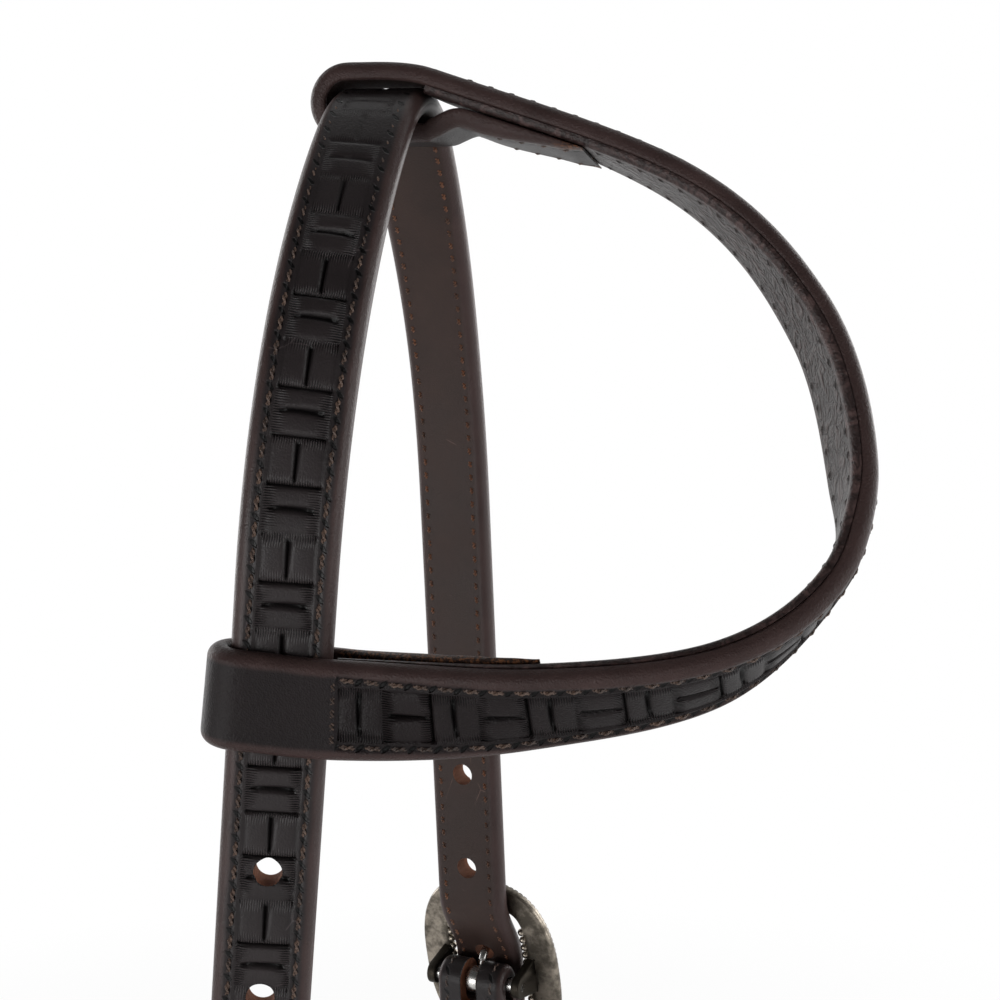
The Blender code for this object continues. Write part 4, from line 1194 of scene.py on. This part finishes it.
arms = (("ear_side_", ear_arm), ("far_side_", far_arm))
for side, arm in arms:
    line = cheek_line(arm)
    length = float(line.reach[-1])
    bit_tab = length - BIT_TAB_LENGTH
    holes = [front_start + below for below in screw_places]
    holes += [bit_tab + CHEEK_LENGTH - below for below in screw_places]

    def pared_ends(x):
        return pared(np.minimum(x, length - x), CHEEK_PLY, CHEEK_PARED_RUN)

    outline = girth(STRAP_WIDTH / 2, CHEEK_PLY, 0.0019, 0.0, TOOLING_CELL)
    flat = cut_ply(0.0, length, outline, TOOLING_CELL, cheek_tooling, thin=pared_ends, seam=cheek_seam,
                   through=cheek_first_block)
    flat = drilled(flat, cheek_leather, holes, POST_RADIUS + SEAT_GAP)
    slot_middle = BUCKLE_TAB_LENGTH + fold_turn / 2
    half_slot = fold_turn / 2 + TONGUE_SLOT_LENGTH
    looks = (cheek_leather, lining_leather)
    flat = punched(flat, oblong_punch(slot_middle, half_slot, TONGUE_SLOT_WIDTH / 2, looks))
    strap = shown(side + "cheek_strap", hung(flat, line, -CHEEK_PLY / 2), "crown")
    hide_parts(side + "cheek_outer")

    middle_line = straight_line(arm, 0.0, CHEEK_LENGTH)
    outline = girth(STRAP_WIDTH / 2, CHEEK_LINING_PLY, 0.0016, 0.0, PLAIN_CELL)
    flat = cut_ply(BAR_TO_FOLD + CHEEK_PLY, CHEEK_LENGTH, outline, 0.002)
    flat = drilled(flat, cheek_filler_leather, screw_places, POST_RADIUS + SEAT_GAP)
    filler = shown(side + "cheek_filler", hung(flat, middle_line, CHEEK_LINING_PLY / 2, -1), "crown")
    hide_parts(side + "cheek_lining")

    count = int((length - 2 * CHEEK_FIRST_STITCH) / STITCH_PITCH)
    height = level_at(CHEEK_PLY / 2 - THREAD_SINK)
    flat = sewn(line, CHEEK_FIRST_STITCH, count, height, *FACE_STITCH, 1, khaki_thread)
    seam = shown(side + "cheek_stitches", flat, "crown")
    start = CHEEK_FIRST_STITCH + STITCH_PITCH * math.ceil(BUCKLE_TAB_LENGTH / STITCH_PITCH)
    count = int((CHEEK_LENGTH - BIT_TAB_LENGTH - start) / STITCH_PITCH)
    height = level_at(0.00008 - CHEEK_LINING_PLY / 2)
    flat = sewn(middle_line, start, count, height, 0.0016, 0.0005, -1, russet_thread)
    seam = shown(side + "cheek_back_stitches", flat, "crown")

# Keepers
# A narrow band of the same leather bent round the cheek piece and the crown's tail, its ends butted
# behind and drawn together with two cross stitches.

KEEPER_WIDTH = 0.0120
KEEPER_PLY = 0.0020
KEEPER_REACH = 0.0550
KEEPER_CORNER = 0.0022
BUTT_GAP = 0.00015

keeper_leather = leather(
    "keeper_leather", FACE_BLACK, EDGE_BROWN, face_half=0.0052, tooled=False, gloss=0.46,
    pore=0.0005, depth=0.00008,
)
for side, arm in arms:
    _, down, across, outward = arm.frame(arm.bar)
    low = -CHEEK_LINING_PLY / 2 - SEAT_GAP - KEEPER_PLY / 2
    high = WEAVE_RISE + CROWN_HALF + SEAT_GAP + KEEPER_PLY / 2
    half = STRAP_WIDTH / 2 + SEAT_GAP + KEEPER_PLY / 2
    bend = KEEPER_CORNER - KEEPER_PLY / 2
    ring = [(0.0, low, 0.0, -1.0)]
    sides = (low + bend, high - bend)
    for end, out, first_turn in ((1, 0, 270.0), (1, 1, 0.0), (-1, 1, 90.0), (-1, 0, 180.0)):
        for i in range(7):
            angle = radians(first_turn + 15.0 * i)
            c, s = cos(angle), sin(angle)
            ring.append((end * (half - bend) + bend * c, sides[out] + bend * s, c, s))
    ring.append(ring[0])
    middle = arm.at_bar(KEEPER_REACH, 0.0)
    points = [middle + across * a + outward * b for a, b, c, d in ring]
    normals = [across * c + outward * d for a, b, c, d in ring]
    line = Line(points, [down] * len(ring), normals)
    outline = girth(KEEPER_WIDTH / 2, KEEPER_PLY, 0.0011, 0.0006, 0.0009)
    around = float(line.reach[-1])
    flat = cut_ply(BUTT_GAP / 2, around - BUTT_GAP / 2, outline, 0.0004)
    keeper = shown(side + "keeper_band", hung(flat, line, -KEEPER_PLY / 2), side + "keeper", keeper_leather)
    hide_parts(side + "keeper")
    pair = []
    for place in (-0.0028, 0.0028):
        pair.append(laid_stitch(line, 0.0046, 0.0009, KEEPER_PLY / 2 - 0.0001,
                                lambda x, y: (np.mod(x, around), y + place)))
    seam = shown(side + "keeper_stitches", together(pair), side + "keeper")

# Buckles
# Cast cart buckles plated in silver, then blackened and wiped so that the black stays in the cuts: an
# oval frame with an engraved running vine between two beaded edges, standing off its bar on two wings.

FRAME_WIDTH = 0.0400
FRAME_HEIGHT = 0.0530
FRAME_THICKNESS = 0.0022
FRAME_RIM = 0.0080
WINDOW_WIDTH = 0.0226
WINDOW_HALF_HEIGHT = FRAME_HEIGHT / 2 - FRAME_RIM
WING_THICKNESS = 0.0024
WING_ROOT = 0.0100
WING_END_RADIUS = 0.0030
FRAME_CELLS = 900
BEAD_PITCH = 0.00155
BERRY_PITCH = 0.0023
BERRY_RADIUS = 0.00105
BERRY_INSET = 0.00025
VINE_TURNS = 9


def metal(name, colour, tarnish, gloss):
    """Plated metal: bright where it is rubbed, dark in its cuts, with fine scratches and thumbed patches."""
    made, tree, shader, place = material(name)
    patches = noise(place, 210.0, 5.0, 0.65)
    streaks = wire(tree, "Mapping", {"Vector": place, "Scale": (900.0, 900.0, 9000.0)})
    scratches = noise(streaks, 1.0, 3.0)
    cuts = wire(tree, "SeparateColor", {0: wire(tree, "Attribute", attribute_name="tooling")})
    dark = wire(tree, "Clamp", {0: soft_gate(patches, 0.62, 0.36) * tarnish + cuts})
    feed(shader["Base Color"], mixed(dark, colour, (0.035, 0.030, 0.024)))
    feed(shader["Roughness"], dark * 0.25 + (scratches * 0.16 + (gloss - 0.08)))
    bump = {"Height": patches * 0.6 + scratches, "Strength": 0.5, "Distance": 0.00004}
    feed(shader["Normal"], wire(tree, "Bump", bump))
    feed(shader["Metallic"], 1.0)
    return made


def darken(mesh, dark=0.0):
    """Writes how deep in a cut each point of a metal piece lies."""
    count = len(mesh.vertices)
    mark(mesh, np.column_stack([np.full(count, dark), np.zeros((count, 2))]))


def oval(width, height, power, turn):
    """Points of a rounded oval, squarer as its power rises."""
    c, s = np.cos(turn), np.sin(turn)
    x = np.sign(c) * np.abs(c) ** (2 / power) * width / 2
    return np.column_stack([x, np.sign(s) * np.abs(s) ** (2 / power) * height / 2])


def round_oval(width, height, power, count):
    """The angles, the points and the reach of a walk round an oval."""
    turn = np.linspace(0.0, 2 * pi, count)
    points = oval(width, height, power, turn)
    return turn, points, reach_along(points)


def vine(run, share, breadth, count):
    """How deep an engraved running scroll is cut, from the place round the rim and the share across it."""
    wave = run * count
    cell = np.floor(wave)
    flip = np.where(np.mod(cell, 2) < 1, 1.0, -1.0)
    u = (wave - cell - 0.5) * 2.0
    v = (share - 0.5) * 2.0 * flip
    stem = groove(v - 0.52 * np.cos(u * pi / 2) + 0.10, 0.13)
    x, y = u - 0.05, (v + 0.18) * breadth
    radius = np.hypot(x, y)
    spiral = np.mod(radius / 0.27 - np.arctan2(y, x) / (2 * pi) + 0.5, 1.0) - 0.5
    cut = np.maximum(stem, groove(spiral, 0.20) * smooth((0.52 - radius) / 0.08))
    leaf_turn = np.arctan2(v + 0.25, np.abs(u) - 0.98)
    leaf = np.hypot(np.abs(u) - 0.98, (v + 0.25) * 0.9)
    petals = 0.26 * np.abs(np.cos(1.5 * leaf_turn)) + 0.06
    return np.maximum(cut, groove(leaf - petals, 0.07))


def frame_plane():
    """The frame's height over the bar at its middle, and its slope down the strap."""
    half = FRAME_THICKNESS / 2
    rise, lean = weave(WINDOW_HALF_HEIGHT)
    upper = rise + CROWN_HALF / cos(math.atan(lean)) + SEAT_GAP + half
    lower = WEAVE_RISE + CROWN_HALF + SEAT_GAP + half
    slope = math.atan((lower - upper) / (2 * WINDOW_HALF_HEIGHT))
    return (upper + lower) / 2 + half * (1 / cos(slope) - 1), slope


def bar_matrix(arm, below=0.0):
    """Local X across, Y up the strap and Z outward, from the middle of the bar."""
    _, down, across, outward = arm.frame(arm.bar)
    columns = Matrix((across * -arm.sign, -down, outward)).transposed().to_4x4()
    columns.translation = arm.at_bar(below, 0.0)
    return columns


def rim_section():
    """The frame's outline from window to edge: share across the rim, height, and 1 on its engraved top."""
    half = FRAME_THICKNESS / 2
    rows = [(share, -half, 0.0) for share in np.linspace(0.06, 0.94, 8)]
    for turn in np.radians(np.linspace(-75.0, 75.0, 6)):
        rows.append((0.94 + 0.06 * cos(turn), half * 0.9 * sin(turn), 0.0))
    for share in np.linspace(0.95, 0.05, 40):
        rows.append((share, half + 0.0002 * (1.0 - (2.0 * share - 1.0) ** 2), 1.0))
    for turn in np.radians(np.linspace(105.0, 255.0, 6)):
        rows.append((0.06 + 0.06 * cos(turn), half * 0.9 * sin(turn), 0.0))
    return np.array(rows + rows[:1])


def frame_mesh():
    section = rim_section()
    mesh, run, row = sheet_grid(FRAME_CELLS, len(section) - 1)
    turn = 2 * pi * np.rint(run * FRAME_CELLS) / FRAME_CELLS
    outside = oval(FRAME_WIDTH, FRAME_HEIGHT, 2.5, turn)
    inside = oval(WINDOW_WIDTH, 2 * WINDOW_HALF_HEIGHT, 5.0, turn)
    share, height, on_top = section[row].T
    flat = inside + (outside - inside) * share[:, None]
    turns, _, reach = round_oval(FRAME_WIDTH, FRAME_HEIGHT, 2.5, 2001)
    around = np.interp(turn, turns, reach) / reach[-1]
    beads = round(reach[-1] / BEAD_PITCH)
    cut = vine(around, (share - 0.17) / 0.66, 0.72, 2 * VINE_TURNS)
    cut = cut * smooth((0.5 - np.abs((share - 0.5) / 0.68)) / 0.04)
    edge = np.minimum(np.abs(share - 0.90), np.abs(share - 0.10)) / 0.075
    bead = np.abs(np.sin(pi * beads * around))
    ball = np.sqrt(np.clip(1.0 - edge**2 - (1.0 - bead) ** 2 * 1.1, 0.0, 1.0))
    line = groove(np.minimum(np.abs(share - 0.81), np.abs(share - 0.19)), 0.018)
    relief = 0.00042 * ball - 0.00022 * cut - 0.0002 * line - 0.0002 * (edge < 1.3)
    put(mesh, np.column_stack([flat, height + relief * on_top]))
    darken(mesh, np.clip(cut * 0.95 + line + (edge < 1.2) * (1.0 - ball) * 0.8, 0.0, 1.0) * on_top)
    closed(mesh)
    return mesh


def berries():
    """A row of cast balls down each side of the window, clear of the strap and seen from both faces."""
    _, points, reach = round_oval(WINDOW_WIDTH, 2 * WINDOW_HALF_HEIGHT, 5.0, 721)
    count = round(reach[-1] / BERRY_PITCH)
    shape = bmesh.new()
    for i in range(count):
        x, y = (float(np.interp(reach[-1] * i / count, reach, points[:, k])) for k in (0, 1))
        if abs(x) < STRAP_WIDTH / 2 + BERRY_RADIUS:
            continue
        bmesh.ops.create_uvsphere(
            shape, u_segments=8, v_segments=5, radius=BERRY_RADIUS,
            matrix=Matrix.Translation((x - math.copysign(BERRY_INSET, x), y, -FRAME_THICKNESS / 4)),
        )
    mesh = mesh_of(shape)
    darken(mesh, -0.8)
    return mesh


def mirrored(profile):
    """The profile, and the same again on the other side of its middle."""
    return profile + [(radius, -height) for radius, height in reversed(profile)]


def spun(profile, steps):
    """A turned piece: its (radius, height) profile goes round local Z."""
    shape = bmesh.new()
    corners = [shape.verts.new((radius, 0.0, height)) for radius, height in profile]
    edges = [shape.edges.new(pair) for pair in zip(corners[:-1], corners[1:])]
    bmesh.ops.spin(
        shape, geom=corners + edges, cent=(0, 0, 0), axis=(0, 0, 1), angle=2 * pi, steps=steps,
        use_merge=True,
    )
    bmesh.ops.remove_doubles(shape, verts=shape.verts, dist=2e-6)
    bmesh.ops.recalc_face_normals(shape, faces=shape.faces)
    return mesh_of(shape)


antiqued_silver = metal("antiqued_silver_plate", (0.31, 0.272, 0.225), 0.80, 0.30)
bright_steel = metal("bright_steel_wire", (0.60, 0.59, 0.57), 0.18, 0.24)

plane_height, plane_slope = frame_plane()
tilt = Matrix.Translation((0.0, 0.0, plane_height)) @ Matrix.Rotation(-plane_slope, 4, "X")
wing_out = WINDOW_WIDTH / 2 + WING_THICKNESS
turn_to_bar = Matrix.Rotation(radians(90.0), 4, "Y")
for side, arm in arms:
    at_bar = bar_matrix(arm)
    pieces = bmesh.new()
    for each in (frame_mesh(), berries()):
        each.transform(tilt)
        pieces.from_mesh(each)
    for end in (-1, 1):
        wing = bmesh.new()
        add_rod(wing, turn_to_bar, WING_END_RADIUS, WING_THICKNESS, 32)
        root = Matrix.Translation((0.0, 0.0, plane_height - 0.0003))
        add_box(wing, root, (WING_THICKNESS, WING_ROOT, 0.0004))
        hull = bmesh.ops.convex_hull(wing, input=wing.verts)
        bmesh.ops.delete(wing, geom=[v for v in hull["geom_interior"] if v.is_valid], context="VERTS")
        bmesh.ops.dissolve_limit(wing, angle_limit=radians(1.0), verts=wing.verts, edges=wing.edges)
        rims = [edge for edge in wing.edges if edge.calc_face_angle(0.0) > radians(50.0)]
        bmesh.ops.bevel(wing, geom=rims, offset=0.0004, segments=3, affect="EDGES", profile=0.5)
        middle = end * (wing_out - WING_THICKNESS / 2)
        bmesh.ops.translate(wing, verts=wing.verts, vec=(middle, 0.0, 0.0))
        pieces.from_mesh(mesh_of(wing))
    mesh = mesh_of(pieces)
    mesh.transform(at_bar)
    frame_piece = shown(side + "engraved_frame", mesh, "crown", antiqued_silver)
    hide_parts(side + "buckle_frame")

    profile = [(0.0, wing_out), (BAR_RADIUS * 0.6, wing_out), (BAR_RADIUS, wing_out - 0.0004)]
    mesh = spun(mirrored(profile), 40)
    mesh.transform(at_bar @ turn_to_bar)
    darken(mesh)
    bar = shown(side + "turned_bar", mesh, "crown", bright_steel)
    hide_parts(side + "buckle_bar")

# Buckle tongues
# Drawn steel wire: one end is beaten flat and rolled into an eye round the bar, the other comes out
# through the hole of the strap and rests on the frame, its tip rounded.

TONGUE_RADIUS = 0.0011
TONGUE_PIVOT_GAP = 0.00008
TONGUE_EYE_WALL = 0.0016
TONGUE_EYE_WIDTH = 0.0034
TONGUE_OVERHANG = 0.0010
TONGUE_LIFT = 0.0003
TONGUE_EYE_ROUND = 0.0004

for side, arm in arms:
    bore = BAR_RADIUS + TONGUE_PIVOT_GAP
    rise, lean = weave(BAR_BELOW_HOLE)
    clear = CROWN_HALF + TONGUE_RADIUS + SEAT_GAP
    rest = plane_height + (FRAME_THICKNESS / 2 + SEAT_GAP + TONGUE_RADIUS) / cos(plane_slope)
    rest += TONGUE_LIFT
    slope = math.tan(plane_slope)
    leave = BAR_BELOW_HOLE + clear * sin(math.atan(lean))
    over = leave + TONGUE_RADIUS * 2.6
    rim_edge = FRAME_HEIGHT / 2 + TONGUE_OVERHANG
    root = bore + TONGUE_EYE_WALL / 2
    route = [
        (root * 0.54, root * 0.84), (BAR_BELOW_HOLE * 0.68, rise * 0.52),
        (BAR_BELOW_HOLE * 1.07, rise * 0.98),
        (leave, rise + clear * 0.72),
        (leave + TONGUE_RADIUS, rise + CROWN_HALF + TONGUE_RADIUS * 1.45),
        (over, rest - over * slope + TONGUE_RADIUS * 0.5),
        (WINDOW_HALF_HEIGHT, rest - WINDOW_HALF_HEIGHT * slope), (rim_edge, rest - rim_edge * slope),
    ]
    curve = bpy.data.curves.new("shank", "CURVE")
    curve.dimensions = "3D"
    curve.bevel_depth = TONGUE_RADIUS
    curve.bevel_resolution = 5
    curve.resolution_u = 14
    curve.use_fill_caps = True
    spline = curve.splines.new("BEZIER")
    spline.bezier_points.add(len(route) - 1)
    for knot, (above, out) in zip(spline.bezier_points, route):
        knot.co = arm.at_bar(-above, out)
        knot.handle_left_type = knot.handle_right_type = "AUTO"
    spline.bezier_points[0].radius = 0.60
    spline.bezier_points[-1].radius = 0.82
    made_shank = baked(placed("shank", curve))
    half, wall = TONGUE_EYE_WIDTH / 2, bore + TONGUE_EYE_WALL
    soft = TONGUE_EYE_ROUND
    profile = [(bore, soft - half), (bore + soft, -half), (wall - soft, -half)]
    profile += [(wall - soft / 3, soft / 3 - half), (wall, soft - half)]
    eye = spun(mirrored(profile) + profile[:1], 48)
    eye.transform(bar_matrix(arm) @ turn_to_bar)
    shape = bmesh.new()
    for each in (eye, made_shank):
        shape.from_mesh(each)
    bmesh.ops.remove_doubles(shape, verts=shape.verts, dist=1e-6)
    bmesh.ops.recalc_face_normals(shape, faces=shape.faces)
    mesh = mesh_of(shape)
    darken(mesh)
    tongue = shown(side + "wire_tongue", mesh, side + "tongue", bright_steel)
    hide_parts(side + "buckle_tongue")

# Screw posts
# Two posts through each bit end keep the bit in. The domed outer heads are cast with a flower and a
# beaded edge; the flat heads behind them are slotted for a coin.

POST_HEAD_RADIUS = 0.0048
POST_HEAD_HEIGHT = 0.0014
POST_HEAD_EDGE = 0.0006
SCREW_SHANK_RADIUS = 0.0014
SCREW_DRIVE_WIDTH = 0.0012
SCREW_DRIVE_DEPTH = 0.0006

seat = FOLD_OUTSIDE + SEAT_GAP
dome_top = seat + POST_HEAD_HEIGHT
dome = []
for i in range(25):
    share = i / 24
    drop = (POST_HEAD_HEIGHT - POST_HEAD_EDGE) * share**2.2
    dome.append((POST_HEAD_RADIUS * 0.985 * share, dome_top - drop))
dome += [(POST_HEAD_RADIUS, seat + POST_HEAD_EDGE * 0.8), (POST_HEAD_RADIUS, seat)]
dome += [(POST_RADIUS, seat), (POST_RADIUS, SEAT_GAP - seat), (0.0, SEAT_GAP - seat)]
back_top = -seat - POST_HEAD_HEIGHT
back = [(0.0, back_top), (POST_HEAD_RADIUS * 0.6, back_top + 0.0001)]
back += [(POST_HEAD_RADIUS * 0.85, back_top + 0.0004)]
back += [(POST_HEAD_RADIUS, -seat - POST_HEAD_EDGE * 0.7), (POST_HEAD_RADIUS, -seat)]
back += [(SCREW_SHANK_RADIUS, -seat), (SCREW_SHANK_RADIUS, -seat + 0.0002), (0.0, -seat + 0.0002)]
for side, arm in arms:
    for label, below in zip(("lower", "upper"), screw_places):
        place = bar_matrix(arm, below)
        mesh = spun(dome, 96)
        spots = places(mesh)
        radius = np.hypot(spots[:, 0], spots[:, 1]) / POST_HEAD_RADIUS
        turn = np.arctan2(spots[:, 1], spots[:, 0])
        on_top = spots[:, 2] > seat + POST_HEAD_EDGE * 0.9
        petal = 0.30 + 0.34 * np.abs(np.cos(4 * turn))
        cut = groove(radius - petal, 0.045) + groove(radius - 0.74, 0.03) + groove(radius - 0.17, 0.035)
        cut = np.clip(cut, 0.0, 1.0) * on_top
        bead = smooth((radius - 0.76) / 0.04) * on_top
        spots[:, 2] += 0.00016 * bead * np.abs(np.sin(12 * turn)) - 0.00018 * cut
        put(mesh, spots)
        darken(mesh, np.clip(cut + bead * (1 - np.abs(np.sin(12 * turn))) * 0.8, 0.0, 1.0))
        mesh.transform(place)
        post = shown(side + label + "_flower_post", mesh, "crown", antiqued_silver)
        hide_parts(side + label + "_post")

        mesh = spun(back, 64)
        mesh.transform(place)
        slot = bmesh.new()
        coin = (0.02, SCREW_DRIVE_WIDTH, 2 * SCREW_DRIVE_DEPTH)
        add_box(slot, place @ Matrix.Translation((0.0, 0.0, back_top)), coin)
        mesh = punched(mesh, mesh_of(slot))
        mesh.materials.clear()
        darken(mesh)
        screw = shown(side + label + "_slotted_screw", mesh, "crown", antiqued_silver)
        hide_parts(side + label + "_screw")
